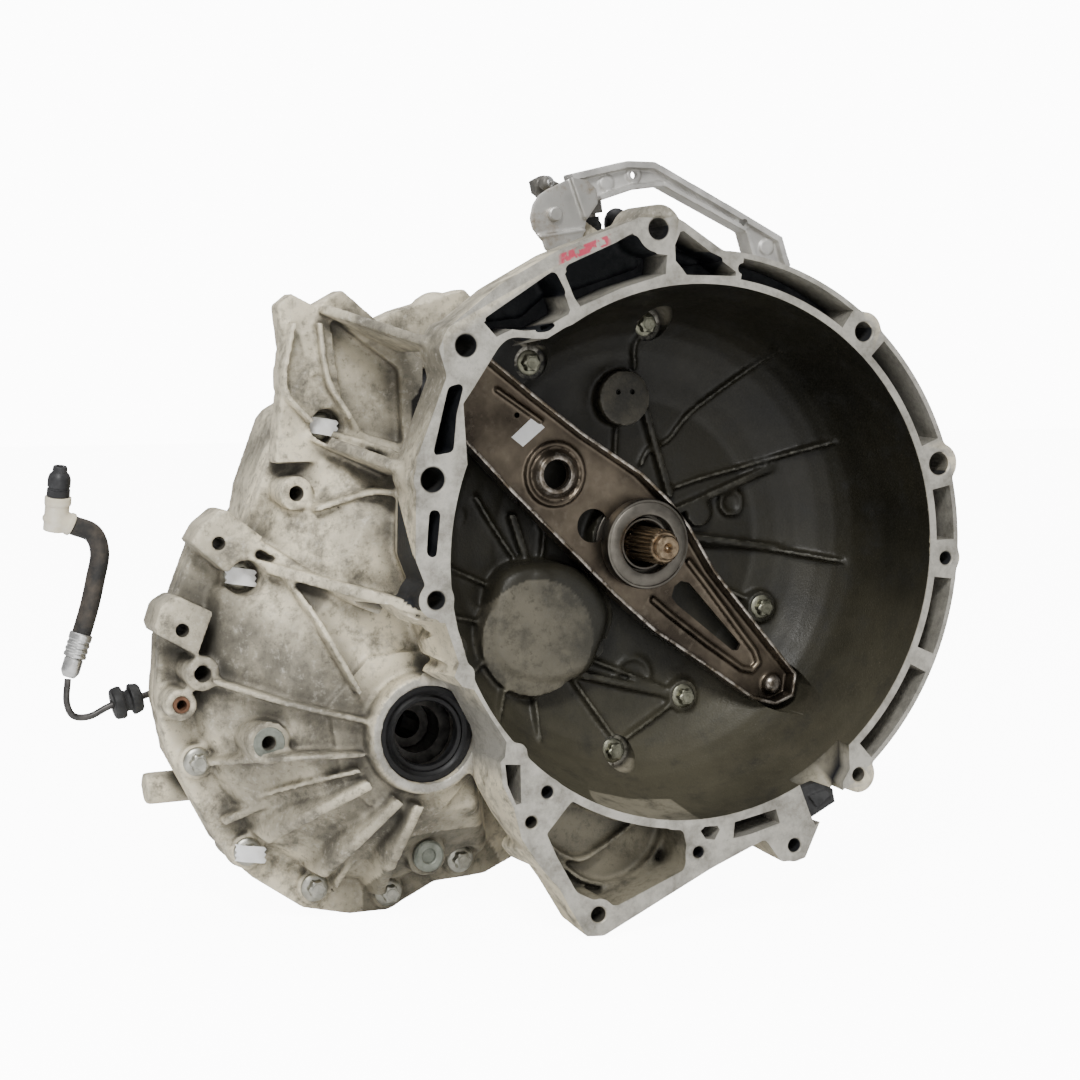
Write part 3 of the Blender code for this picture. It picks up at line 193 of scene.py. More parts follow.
def backdrop_strength(tree, socket, light, seen):
    """Feeds a strength that lights the part at one level and shows as plain white behind it."""
    path = tree.nodes.new("ShaderNodeLightPath")
    choose = tree.nodes.new("ShaderNodeMapRange")
    tree.links.new(path.outputs["Is Camera Ray"], choose.inputs["Value"])
    choose.inputs["To Min"].default_value, choose.inputs["To Max"].default_value = light, seen
    tree.links.new(choose.outputs["Result"], socket)


def studio():
    world = bpy.data.worlds.new("studio")
    bpy.context.scene.world = world
    world.use_nodes = True
    tree = world.node_tree
    backdrop_strength(tree, tree.nodes["Background"].inputs["Strength"], 0.55, BACKDROP_WHITE)
    tree.nodes["Background"].inputs["Color"].default_value = (1, 1, 1, 1)
    centre = (-0.05, 0.05, 0)
    area_light("key_light", (-0.9, -1.4, 1.4), centre, 0.5, 47)
    area_light("fill_light", (-0.5, -1.9, 0.2), centre, 0.7, 5)
    area_light("top_light", (-0.2, 0.3, 1.8), centre, 1.2, 15)


def floor():
    """A plain pale floor at the lowest point of the part."""
    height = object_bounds()[0][2]
    bpy.ops.mesh.primitive_plane_add(size=14, location=(0, 0, height))
    plane = bpy.context.object
    plane.name = "floor"
    made = bpy.data.materials.new("floor_white")
    made.use_nodes = True
    shader = made.node_tree.nodes["Principled BSDF"]
    shader.inputs["Base Color"].default_value = (0.93, 0.93, 0.93, 1)
    shader.inputs["Roughness"].default_value = 0.9
    shader.inputs["Emission Color"].default_value = (1, 1, 1, 1)
    backdrop_strength(made.node_tree, shader.inputs["Emission Strength"], 0.0, BACKDROP_WHITE - 1.3)
    plane.data.materials.append(made)
    plane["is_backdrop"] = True


# Geometry helpers ---------------------------------------------------------------------------------


def make_object(name, points, faces):
    """A mesh object from millimetre points, with its faces turned outwards."""
    mesh = bpy.data.meshes.new(name)
    mesh.from_pydata([Vector(point) * MM for point in points], [], faces)
    build = bmesh.new()
    build.from_mesh(mesh)
    bmesh.ops.connect_verts_nonplanar(build, angle_limit=math.radians(0.1), faces=build.faces)
    bmesh.ops.recalc_face_normals(build, faces=build.faces)
    build.to_mesh(mesh)
    build.free()
    return linked(name, mesh)


def loft(sections):
    """A solid through outlines of equal length: sections is a list of (y, outline of (x, z))."""
    count = len(sections[0][1])
    points = [(x, y, z) for y, outline in sections for x, z in outline]
    faces = [list(range(count)), list(range(len(points) - count, len(points)))]
    for ring in range(len(sections) - 1):
        for index in range(count):
            after = (index + 1) % count
            near, far = ring * count, (ring + 1) * count
            faces.append([near + index, near + after, far + after, far + index])
    return make_object("loft", points, faces)


def prism(outline, front, back):
    return loft([(front, outline), (back, outline)])


def turned(profile, centre=(0.0, 0.0), segments=96):
    """A solid turned about an axis parallel to Y. The profile is a closed run of (radius, y)."""
    points, rings = [], []
    for radius, y in profile:
        if radius == 0:
            rings.append([len(points)])
            points.append((centre[0], y, centre[1]))
            continue
        rings.append(list(range(len(points), len(points) + segments)))
        for index in range(segments):
            x, z = polar(radius, 360 * index / segments, centre)
            points.append((x, y, z))
    faces = []
    for first, second in zip(rings, rings[1:] + rings[:1]):
        if len(first) == 1 and len(second) == 1:
            continue
        for index in range(segments):
            after = (index + 1) % segments
            if len(first) == 1:
                faces.append([first[0], second[after], second[index]])
            elif len(second) == 1:
                faces.append([first[index], first[after], second[0]])
            else:
                faces.append([first[index], first[after], second[after], second[index]])
    return make_object("turned", points, faces)


def disc(centre, radius, front, back, segments=48):
    return turned([(0, front), (radius, front), (radius, back), (0, back)], centre, segments)


def tube(centre, outer, inner, front, back, segments=64):
    return turned([(inner, front), (outer, front), (outer, back), (inner, back)], centre, segments)


def placed(obj, start, direction):
    """Moves an object made about the Y axis so that its y = 0 sits at start and +Y runs along direction."""
    turn = Vector((0, 1, 0)).rotation_difference(Vector(direction).normalized()).to_matrix().to_4x4()
    obj.data.transform(Matrix.Translation(Vector(start) * MM) @ turn)
    return obj


def rod(start, end, radius, segments=32):
    run = Vector(end) - Vector(start)
    return placed(disc((0, 0), radius, 0, run.length, segments), start, run)


def ball(centre, radius):
    profile = [polar(radius, angle) for angle in range(-90, 91, 15)]
    profile = [(max(0, x) if 0 < index < 12 else 0, y) for index, (x, y) in enumerate(profile)]
    obj = turned(profile, (0, 0), 32)
    obj.data.transform(Matrix.Translation(Vector(centre) * MM))
    return obj


def arc(radius, first, last, pieces, centre=(0.0, 0.0)):
    return [polar(radius, first + (last - first) * i / pieces, centre) for i in range(pieces + 1)]


def inset(outline, distance):
    """The outline moved inwards by a distance, vertex by vertex."""
    count = len(outline)
    area = sum(outline[i - 1][0] * outline[i][1] - outline[i][0] * outline[i - 1][1] for i in range(count))
    side = 1 if area > 0 else -1
    moved = []
    for index in range(count):
        here = Vector(outline[index])
        back = (here - Vector(outline[index - 1])).normalized()
        ahead = (Vector(outline[(index + 1) % count]) - here).normalized()
        normal = Vector((-(back + ahead).y, (back + ahead).x)).normalized() * side
        square = Vector((-back.y, back.x)) * side
        moved.append(tuple(here + normal * distance / max(0.5, normal.dot(square))))
    return moved


def catmull(control, per_span):
    """Points of a Catmull-Rom curve through all control points but the first and the last."""
    line = []
    for p0, p1, p2, p3 in zip(control, control[1:], control[2:], control[3:]):
        for step in range(per_span):
            t = step / per_span
            line.append(0.5 * (2 * p1 + (p2 - p0) * t + (2 * p0 - 5 * p1 + 4 * p2 - p3) * t**2
                               + (3 * p1 - p0 - 3 * p2 + p3) * t**3))
    return line


def smooth_line(points, per_span):
    """A smooth open line through given points."""
    points = [Vector(point) for point in points]
    before, after = 2 * points[0] - points[1], 2 * points[-1] - points[-2]
    return [*catmull([before, *points, after], per_span), points[-1]]


def smooth_loop(points):
    """A closed outline of (x, z) points, rounded through given corners."""
    ring = [Vector(point) for point in (points[-1], *points, points[0], points[1])]
    return [tuple(point) for point in catmull(ring, 5)]


def crest(points, width, depth, taper=1.6):
    """A cast rib along a line of (x, y, z) crest points. It reaches depth behind them and widens there."""
    line = smooth_line(points, 4) if len(points) > 2 else [Vector(point) for point in points]
    blades = []
    for first, second in zip(line, line[1:]):
        along = Vector((second.x - first.x, 0, second.z - first.z))
        side = Vector((-along.z, 0, along.x)).normalized() * width / 2
        stretch = along.normalized() * width / 4
        corners = []
        for at, over in ((first, -stretch), (second, stretch)):
            for offset in (side, -side):
                corners.append(at + over + offset)
                corners.append(at + over + offset * taper + Vector((0, depth, 0)))
        faces = [[0, 1, 3, 2], [4, 5, 7, 6], [0, 1, 5, 4], [2, 3, 7, 6], [0, 2, 6, 4], [1, 3, 7, 5]]
        blades.append(make_object("blade", corners, faces))
    return blades


def bead(points, radius, segments=12, closed=False):
    """A round bead along a line of (x, y, z) points, as short overlapping rods and balls."""
    pieces = []
    run = list(points) + ([points[0]] if closed else [])
    for first, second in zip(run, run[1:]):
        pieces.append(rod(first, second, radius, segments))
        pieces.append(ball(first, radius))
    pieces.append(ball(run[-1], radius))
    return pieces


def evaluated(obj):
    """Applies the object's modifiers."""
    graph = bpy.context.evaluated_depsgraph_get()
    mesh = bpy.data.meshes.new_from_object(obj.evaluated_get(graph))
    obj.modifiers.clear()
    obj.data = mesh
    return obj


def joined(name, pieces):
    """One object that holds all the pieces' meshes."""
    build = bmesh.new()
    for piece in pieces:
        build.from_mesh(piece.data)
        bpy.data.objects.remove(piece, do_unlink=True)
    mesh = bpy.data.meshes.new(name)
    build.to_mesh(mesh)
    build.free()
    return linked(name, mesh)


def cast(name, pieces, voxel, softness):
    """Overlapping solids as one skin with the rounded edges of a casting or a pressing."""
    obj = joined(name, pieces)
    skin = obj.modifiers.new("skin", "REMESH")
    skin.mode, skin.voxel_size = "VOXEL", voxel * MM
    soften = obj.modifiers.new("soften", "SMOOTH")
    soften.factor, soften.iterations = 0.5, softness
    return evaluated(obj)


def slab(front, back):
    """A block wider than the part, from one depth to another."""
    return prism([(-400, -300), (300, -300), (300, 300), (-400, 300)], front, back)


def machined(obj, tools):
    """Cuts sharp machined features out of a cast skin. The tools don't overlap each other."""
    cutter = joined("cutter", tools)
    modifier = obj.modifiers.new("cut", "BOOLEAN")
    modifier.operation, modifier.solver, modifier.object = "DIFFERENCE", "MANIFOLD", cutter
    evaluated(obj)
    bpy.data.objects.remove(cutter, do_unlink=True)
    return obj


def from_cad(node):
    """A welded copy of a CAD node's mesh as a new object."""
    mesh = nodes[node].data.copy()
    build = bmesh.new()
    build.from_mesh(mesh)
    bmesh.ops.remove_doubles(build, verts=build.verts, dist=0.002 * MM)
    build.to_mesh(mesh)
    build.free()
    return linked(f"{node}_copy", mesh)


def places_of(obj):
    """The x, y and z of every vertex, in millimetres, as three arrays."""
    flat = np.zeros(len(obj.data.vertices) * 3, np.float32)
    obj.data.vertices.foreach_get("co", flat)
    return (flat.reshape(-1, 3) / MM).T


def store_tone(obj, *masks):
    """Stores up to three masks as the colour layer that the cast and pressed looks read."""
    tone = np.zeros((len(obj.data.vertices), 4), np.float32)
    tone[:, 3] = 1
    for channel, mask in enumerate(masks):
        tone[:, channel] = mask
    layer = obj.data.color_attributes.new("tone", "FLOAT_COLOR", "POINT")
    layer.data.foreach_set("color", tone.ravel())


def piece(obj, name, look, slot, *replaced, body="housing", sharp=35):
    """Names a finished piece, gives it its look and hangs it on its body."""
    obj.name = obj.data.name = name
    obj.data.materials.clear()
    obj.data.materials.append(LOOKS[look])
    if obj.type == "MESH":
        obj.data.shade_smooth()
        obj.data.set_sharp_from_angle(angle=math.radians(sharp))
    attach(obj, body)
    if replaced:
        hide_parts(*replaced)


# Materials ----------------------------------------------------------------------------------------


class Look:
    """A small helper that builds one Principled material from nodes."""

    def __init__(self, name):
        self.material = bpy.data.materials.new(name)
        self.material.use_nodes = True
        self.tree = self.material.node_tree
        self.shader = self.tree.nodes["Principled BSDF"]
        self.place = self.node("ShaderNodeTexCoord").outputs["Object"]

    def node(self, kind, **settings):
        made = self.tree.nodes.new(kind)
        for key, value in settings.items():
            setattr(made, key, value)
        return made

    def link(self, source, target):
        self.tree.links.new(source, target)

    def feed(self, socket, value):
        """Sets a socket to a colour or a number, or links another socket to it."""
        if isinstance(value, tuple):
            socket.default_value = (*value, 1)
        elif isinstance(value, (int, float)):
            socket.default_value = value
        else:
            self.link(value, socket)

    def noise(self, scale, detail=4, roughness=0.55, stretch=None):
        made = self.node("ShaderNodeTexNoise")
        made.inputs["Scale"].default_value = scale
        made.inputs["Detail"].default_value = detail
        made.inputs["Roughness"].default_value = roughness
        place = self.place
        if stretch:
            mapping = self.node("ShaderNodeMapping")
            mapping.inputs["Scale"].default_value = stretch
            self.link(place, mapping.inputs["Vector"])
            place = mapping.outputs["Vector"]
        self.link(place, made.inputs["Vector"])
        return made.outputs["Fac"]

    def window(self, value, low, high, start=0.0, end=1.0):
        """Maps a value from low..high to start..end, held at the ends."""
        made = self.node("ShaderNodeMapRange")
        for key, number in (("From Min", low), ("From Max", high), ("To Min", start), ("To Max", end)):
            made.inputs[key].default_value = number
        self.link(value, made.inputs["Value"])
        return made.outputs["Result"]

    def math(self, operation, first, second):
        made = self.node("ShaderNodeMath", operation=operation)
        for socket, value in zip(made.inputs, (first, second)):
            self.feed(socket, value)
        return made.outputs["Value"]

    def mix(self, share, first, second):
        """Mixes two colours, each a tuple or a socket, by a share that is a socket."""
        made = self.node("ShaderNodeMix", data_type="RGBA")
        self.link(share, made.inputs["Factor"])
        for key, value in (("A", first), ("B", second)):
            self.feed(next(i for i in made.inputs if i.name == key and i.type == "RGBA"), value)
        return next(o for o in made.outputs if o.type == "RGBA")

    def tint(self, value, low, high, first, second, share=1.0):
        """Turns one colour into another as a value runs from low to high, as far as the share."""
        return self.mix(self.window(value, low, high, 0, share), first, second)

    def attribute(self, name):
        """The three channels of a colour attribute."""
        made = self.node("ShaderNodeAttribute", attribute_name=name)
        split = self.node("ShaderNodeSeparateColor")
        self.link(made.outputs["Color"], split.inputs["Color"])
        return [split.outputs[key] for key in ("Red", "Green", "Blue")]

    def along(self, axis):
        """The object coordinate along one axis, in metres."""
        split = self.node("ShaderNodeSeparateXYZ")
        self.link(self.place, split.inputs["Vector"])
        return split.outputs[axis]

    def shelter(self, distance):
        """1 where the surface is open and less where its own shape shelters it."""
        made = self.node("ShaderNodeAmbientOcclusion", samples=8, only_local=True)
        made.inputs["Distance"].default_value = distance * MM
        return made.outputs["AO"]

    def crevice(self, low, high):
        """0 in hollows and 1 on edges, from the surface's own curvature."""
        geometry = self.node("ShaderNodeNewGeometry")
        return self.window(geometry.outputs["Pointiness"], low, high)

    def bump(self, height, strength, distance):
        made = self.node("ShaderNodeBump")
        made.inputs["Strength"].default_value = strength
        made.inputs["Distance"].default_value = distance * MM
        self.link(height, made.inputs["Height"])
        self.link(made.outputs["Normal"], self.shader.inputs["Normal"])

    def set(self, colour, roughness, metallic):
        for key, value in (("Base Color", colour), ("Roughness", roughness), ("Metallic", metallic)):
            self.feed(self.shader.inputs[key], value)
        return self.material


PAINT_SLOPE = 0.38  # slope of the engine face's upper left edge, which the paint strokes follow


def cast_aluminium(name):
    """Weathered casting: dusty outside, dark and oily inside the bell, bare where it is machined, with painted
    shade in hollows and pockets and painted highlights on worn edges.
    """
    look = Look(name)
    bell, pocket, bare = look.attribute("tone")
    height = look.along("Z")
    broad = look.noise(7, 5, 0.6)
    blotch = look.noise(46, 7, 0.72)
    speck = look.noise(190, 6, 0.75)
    fine = look.noise(620, 3, 0.6)
    shelter = look.shelter(16)
    # Outside: cream dust over grey metal, stained, with black grime and painted shade in the hollows, and
    # painted highlights on worn edges.
    dust = look.tint(broad, 0.40, 0.58, (0.21, 0.192, 0.150), (0.76, 0.685, 0.515))
    dust = look.tint(blotch, 0.48, 0.64, dust, (0.125, 0.115, 0.092), 0.8)
    dust = look.tint(speck, 0.54, 0.72, dust, (0.72, 0.68, 0.58), 0.55)
    dust = look.tint(speck, 0.46, 0.34, dust, (0.10, 0.093, 0.078), 0.6)
    # Black grime and painted shade where the casting's own shape shelters it, then in its creases.
    outside = look.tint(shelter, 0.90, 0.50, dust, (0.055, 0.051, 0.041), 0.92)
    outside = look.mix(look.crevice(0.46, 0.40), outside, (0.07, 0.063, 0.05))
    # Worn edges lightened, partly as a painted highlight along the casting's edges.
    worn_edge_highlight = look.math("MULTIPLY", look.crevice(0.54, 0.62), look.window(speck, 0.35, 0.6))
    outside = look.mix(look.math("MULTIPLY", worn_edge_highlight, 0.7), outside, (0.80, 0.77, 0.68))
    # Inside the bell: brown-black oil film, lighter towards the bottom.
    upper = look.tint(broad, 0.35, 0.62, (0.005, 0.0048, 0.0034), (0.014, 0.0125, 0.0078))
    lower = look.tint(broad, 0.35, 0.62, (0.022, 0.0208, 0.0145), (0.078, 0.071, 0.048))
    oil = look.tint(height, 0.02, -0.15, upper, lower)
    oil = look.tint(blotch, 0.52, 0.72, oil, (0.016, 0.016, 0.015), 0.55)
    # Painted shade in the hollows inside the bell.
    oil = look.tint(shelter, 0.70, 0.30, oil, (0.009, 0.009, 0.008), 0.7)
    scuff = look.math("MULTIPLY", look.crevice(0.53, 0.60), look.window(speck, 0.40, 0.60))
    oil = look.mix(look.math("MULTIPLY", scuff, 0.6), oil, (0.24, 0.23, 0.19))
    # Pockets: oil-dark with painted shade, nearly black.
    black = look.tint(blotch, 0.45, 0.75, (0.006, 0.007, 0.009), (0.035, 0.037, 0.04))
    milled = look.tint(blotch, 0.42, 0.66, (0.50, 0.48, 0.425), (0.22, 0.208, 0.178))
    milled = look.tint(speck, 0.55, 0.75, milled, (0.12, 0.115, 0.10), 0.5)
    colour = look.mix(bell, outside, oil)
    colour = look.mix(pocket, colour, black)
    colour = look.mix(bare, colour, milled)
    # Two worn strokes of red marking paint along the engine face's upper left edge.
    aside, depth = look.along("X"), look.along("Y")
    across = look.math("SUBTRACT", look.math("MULTIPLY", aside, PAINT_SLOPE), height)
    stroke = look.window(look.noise(150, 3), 0.44, 0.50, 0, 0.85)
    for value, low, high in (
        (across, -0.2180, -0.2172), (across, -0.2110, -0.2118),
        (aside, -0.097, -0.094), (aside, -0.062, -0.065), (depth, 0.0012, 0.0008),
    ):
        stroke = look.math("MULTIPLY", stroke, look.window(value, low, high))
    colour = look.mix(stroke, colour, (0.55, 0.035, 0.09))
    rough = look.window(blotch, 0.3, 0.7, 0.5, 0.74)
    rough = look.math("SUBTRACT", rough, look.math("MULTIPLY", bell, 0.18))
    rough = look.math("SUBTRACT", rough, look.math("MULTIPLY", bare, 0.12))
    metal = look.math("ADD", look.math("MULTIPLY", bare, 0.4), look.window(bell, 0, 1, 0.25, 0.05))
    grit = look.math("ADD", look.math("MULTIPLY", fine, 0.5), speck)
    look.bump(grit, 0.45, 0.55)
    look.shader.inputs["Specular IOR Level"].default_value = 0.3
    return look.set(colour, rough, metal)


def steel(name, dark, light, roughness, scale=120, stretch=None, metallic=1.0, rust=None):
    """Bare or plated metal with a mottled tone and fine marks."""
    look = Look(name)
    mottle = look.noise(scale, 5, 0.6, stretch)
    colour = look.tint(mottle, 0.35, 0.68, dark, light)
    if rust:
        colour = look.tint(look.noise(60, 6, 0.7), 0.52, 0.7, colour, rust)
    rough = look.window(mottle, 0.3, 0.7, roughness - 0.08, roughness + 0.12)
    look.bump(look.noise(scale * 5, 2), 0.12, 0.2)
    return look.set(colour, rough, metallic)


def pressed_steel(name):
    """The release fork: dark oily steel with a brown film, painted shade in its channel and bright worn rims.
    """
    look = Look(name)
    bright = look.attribute("tone")[0]
    film = look.noise(22, 5, 0.6)
    streak = look.noise(160, 4, 0.6)
    colour = look.tint(film, 0.35, 0.65, (0.042, 0.033, 0.024), (0.165, 0.135, 0.098))
    colour = look.tint(streak, 0.55, 0.8, colour, (0.20, 0.17, 0.13), 0.5)
    # Painted shade in the channel's hollows.
    colour = look.tint(look.shelter(8), 0.8, 0.4, colour, (0.012, 0.009, 0.007), 0.75)
    worn = look.math("MULTIPLY", bright, look.window(streak, 0.42, 0.62))
    colour = look.mix(worn, colour, (0.50, 0.46, 0.41))
    rough = look.window(film, 0.3, 0.7, 0.24, 0.42)
    look.bump(streak, 0.1, 0.3)
    return look.set(colour, rough, 0.85)


def rubber(name, colour, light, roughness=0.6):
    look = Look(name)
    mottle = look.noise(90, 5, 0.6)
    tone = look.tint(mottle, 0.4, 0.75, colour, light)
    look.bump(look.noise(700, 2), 0.1, 0.15)
    look.shader.inputs["Specular IOR Level"].default_value = 0.3
    return look.set(tone, look.window(mottle, 0.3, 0.7, roughness - 0.1, roughness + 0.1), 0.0)


LOOKS = {
    "cast": cast_aluminium("cast_aluminium_weathered"),
    "fork": pressed_steel("pressed_steel_oily"),
    "machined": steel("machined_steel", (0.20, 0.185, 0.165), (0.42, 0.40, 0.37), 0.34),
    "gear": steel("gear_steel", (0.30, 0.29, 0.27), (0.50, 0.48, 0.45), 0.28),
    "bearing": steel("bearing_steel", (0.10, 0.092, 0.078), (0.19, 0.175, 0.15), 0.4, 60),
    "spline": steel("spline_steel", (0.17, 0.125, 0.08), (0.40, 0.31, 0.21), 0.34, 260, (1, 0.15, 1)),
    "zinc": steel("zinc_plated_steel", (0.30, 0.295, 0.255), (0.56, 0.55, 0.49), 0.38, 150),
    "olive": steel("oily_zinc_plate", (0.13, 0.13, 0.095), (0.34, 0.335, 0.26), 0.42, 150),
    # Oiled steel for the differential's inner parts, darkened further as painted shade deep inside the
    # housing.
    "sunk": steel("oiled_steel_in_painted_shade", (0.018, 0.017, 0.016), (0.06, 0.057, 0.052), 0.4),
    "dull": steel("dull_steel", (0.09, 0.085, 0.075), (0.24, 0.23, 0.21), 0.5, 60, None, 0.7),
    "bush": steel("steel_bush", (0.14, 0.15, 0.125), (0.27, 0.285, 0.245), 0.5, 140, None, 0.6),
    "crank": steel("zinc_sheet", (0.44, 0.43, 0.40), (0.62, 0.61, 0.58), 0.4, 30, None, 0.85,
                   (0.30, 0.24, 0.17)),
    "bracket": steel("bracket_casting", (0.40, 0.39, 0.37), (0.66, 0.65, 0.62), 0.48, 45, None, 0.6),
    "bronze": steel("bronze", (0.36, 0.25, 0.12), (0.55, 0.42, 0.24), 0.36),
    "pipe": steel("coated_pipe", (0.035, 0.033, 0.032), (0.10, 0.095, 0.09), 0.42, 200, None, 0.6),
    "ferrule": steel("ferrule_aluminium", (0.50, 0.50, 0.49), (0.74, 0.74, 0.73), 0.3, 180),
    "rust": steel("rusty_steel", (0.10, 0.045, 0.022), (0.19, 0.095, 0.05), 0.8, 160, None, 0.2),
    "rubber": rubber("black_rubber", (0.012, 0.012, 0.012), (0.05, 0.05, 0.05)),
    "seal": rubber("seal_rubber", (0.003, 0.003, 0.003), (0.010, 0.010, 0.011), 0.5),
    "hose": rubber("hose_rubber", (0.022, 0.021, 0.020), (0.085, 0.07, 0.055), 0.62),
    "plastic": rubber("black_plastic", (0.016, 0.016, 0.017), (0.045, 0.045, 0.047), 0.45),
    "elbow": rubber("aged_white_plastic", (0.62, 0.56, 0.42), (0.78, 0.75, 0.66), 0.5),
    "paper": rubber("label_paper", (0.78, 0.78, 0.77), (0.88, 0.88, 0.87), 0.55),
}

# Housings -----------------------------------------------------------------------------------------


def inside_outline(points, outline):
    """True for each (x, z) row of an array that lies inside the outline."""
    found = np.zeros(len(points), bool)
    x, z = points[:, 0], points[:, 1]
    for (x0, z0), (x1, z1) in zip(outline, outline[1:] + outline[:1]):
        crosses = (z0 > z) != (z1 > z)
        run = (x1 - x0) * (z - z0) / ((z1 - z0) or 1e-9) + x0
        found ^= crosses & (x < run)
    return found


FLANGE_OUTLINE = arc(186, -57, 86, 60) + [
    (-15, 203), (-46, 203), (-96, 184), (-134, 163), (-161, 142), (-172, 126), (-167, 110), (-186, 62),
    (-190, 0), *LAND_EDGE, (-78, -231), (-66, -232), (8, -197),
    (46, -182), (58, -198), (75, -197), (91, -163),
]
FORK_BAY_OUTLINE = [
    (-80, 50), (-80, 143), (-92, 138.5), (-104, 131.8), (-126, 131.8), (-133, 127.8), (-157, 94),
    (-154, 50),
]


def bell_depth(x, z):
    """Depth of the bell's inside surface below a point of its plan."""
    radii = [radius for radius, _ in reversed(BELL_WALL)]
    depths = [depth for _, depth in reversed(BELL_WALL)]
    return float(np.interp(math.hypot(x, z), radii, depths))


def paint_tones(obj):
    """Stores, for each point, how much it is bell interior, flange pocket or machined face; pockets are shown
    near-black, oil with painted shade.
    """
    x, y, z = places_of(obj)
    radius = np.hypot(x, z)
    wall = np.interp(y, [p[1] for p in BELL_WALL], [p[0] for p in BELL_WALL])
    wall[y > 90] = 140
    plan = np.stack([x, z], 1)
    in_flange = inside_outline(plan, inset(FLANGE_OUTLINE, 3.0))
    in_bay = inside_outline(plan, [(px * 0.985, pz * 0.985) for px, pz in FORK_BAY_OUTLINE])
    bell = ((radius < wall + 2.5) & (y > 0.6) & (y < 113)) | (in_bay & (y > 0.6) & (y < 98))
    ball_bay = (np.hypot(x - 101, z + 99) < 19) & (y > 40) & (y < 103)
    starter = (z < -150) & (x < 0) & in_flange & (y > 0.6) & (y < 42)
    # Flange pockets, darkened in the cast look as oil and painted shade.
    pocket = in_flange & (y > 0.6) & (y < 37) & ~bell & ~starter
    bare = (np.abs(y) < 0.05) & inside_outline(plan, inset(FLANGE_OUTLINE, -1.0))
    dome = (np.hypot(x - OUTPUT_AXIS[0], z - OUTPUT_AXIS[1]) < 39) & (y < 100)
    cover = (np.hypot(x + 8, z - 94) < 18) & (y < 97)
    # Grime with painted shade on the housings' bottom edges behind the flange, given the bell's oil tone.
    grime_and_shade = (z < -176) & (x > -182) & (y > 72) & (y < 160) & ~in_flange
    oil = (bell | ball_bay).astype(np.float32)
    for where, share in ((bell & dome, 0.87), (bell & cover, 0.95), (starter, 0.75), (grime_and_shade, 0.66)):
        oil[where] = share
    diff_radius = np.hypot(x - DIFF_AXIS[0], z - DIFF_AXIS[1])
    bare |= (diff_radius < 35.2) & (y < 45.6)
    # The bore behind the right seal counts as pocket: painted shade inside it.
    pocket |= (diff_radius < 29.9) & (y > 46) & (y < 128)
    store_tone(obj, oil, pocket, bare)


def stretched_front(obj):
    """Moves the engine face's points forward, so that it can be cut flat after the edges are softened."""
    for vertex in obj.data.vertices:
        if vertex.co.y < 0.1 * MM:
            vertex.co.y = SPARE_Y * MM
    return obj


def bell_floor_details():
    """Ribs, posts and pads on the bell's rear wall, and the dome over the output bearing."""
    ribs = [
        [(9, 50), (15, 60), (29, 66), (44, 83), (67, 101), (84, 117), (90, 126)],
        [(26, 32), (54, 40), (80, 46), (106, 53), (136, 64)],
        [(32, -3), (59, -5), (103, -9), (147, -17)],
        [(2, 113), (-1, 130), (8, 142)],
        [(-9, 76), (-10, 56)],
        [(-81, -9), (-95, 10), (-110, 32)],
        [(-94, -28), (-126, -14), (-150, -4)],
        [(-100, -50), (-128, -43)],
        [(-98, -67), (-116, -77)],
        [(-91, -87), (-106, -108)],
        [(-70, -93), (-73, -124)],
        [(-42, -88), (-13, -132)],
        [(-36, -74), (0, -89), (40, -106)],
        [(-10, -131), (34, -108)],
        [(-64, -22), (-60, 10)],
        [(96, -46), (60, -30)],
    ]
    outside = [(96, 113), (126, 112), (154, 92), (163, 60), (169.5, 36), (170.4, SPARE_Y)]
    pieces = [turned([*BELL_WALL[:-1], *outside], segments=180)]
    for line in ribs:
        pieces += crest([(x, bell_depth(x, z) - 4, z) for x, z in line], 2.4, 9)
    pieces += crest([(-46, 93, -16), (-27, 93, -28), (-18, 93, -46), (-22, 93, -62)], 3, 14)
    for x, z, radius, top in ((-123, 20, 6, 100), (-71, -19, 6, 99), (-27, -69, 7, 99), (-60, 12, 4, 104)):
        pieces.append(disc((x, z), radius, top, BELL_FLOOR_Y + 4))
    for x, z in ((52, 18), (76, 23)):
        pieces.append(tube((x, z), 9.5, 6.2, 103.5, BELL_FLOOR_Y + 4))
        pieces.append(disc((x, z), 6.4, 106, BELL_FLOOR_Y + 4))
    pieces.append(tube((4, -91), 14, 11, 105.8, BELL_FLOOR_Y + 3))
    bearing_end = [(0, 86), (20, 86.4), (31, 87.4), (36, 90), (38, 95), (39, 112), (0, 112)]
    pieces.append(turned(bearing_end, OUTPUT_AXIS))
    dome = smooth_loop([
        (-97, -17), (-68, -9), (-37, -18), (-20, -44), (-27, -70), (-38, -86), (-70, -92), (-100, -80),
        (-108, -50),
    ])
    rounding = [(85.2, inset(dome, 9)), (86.6, inset(dome, 5)), (91, inset(dome, 1.5))]
    pieces.append(loft([*rounding, (112, dome)]))
    pieces.append(disc((-70, -22), 6, 84.2, 95))
    top = BELL_SEAT_Y - 2.5
    for at in BELL_BOLTS:
        pieces.append(turned([(6, top), (10.5, top), (12.5, 112), (6, 112)], at))
    return pieces


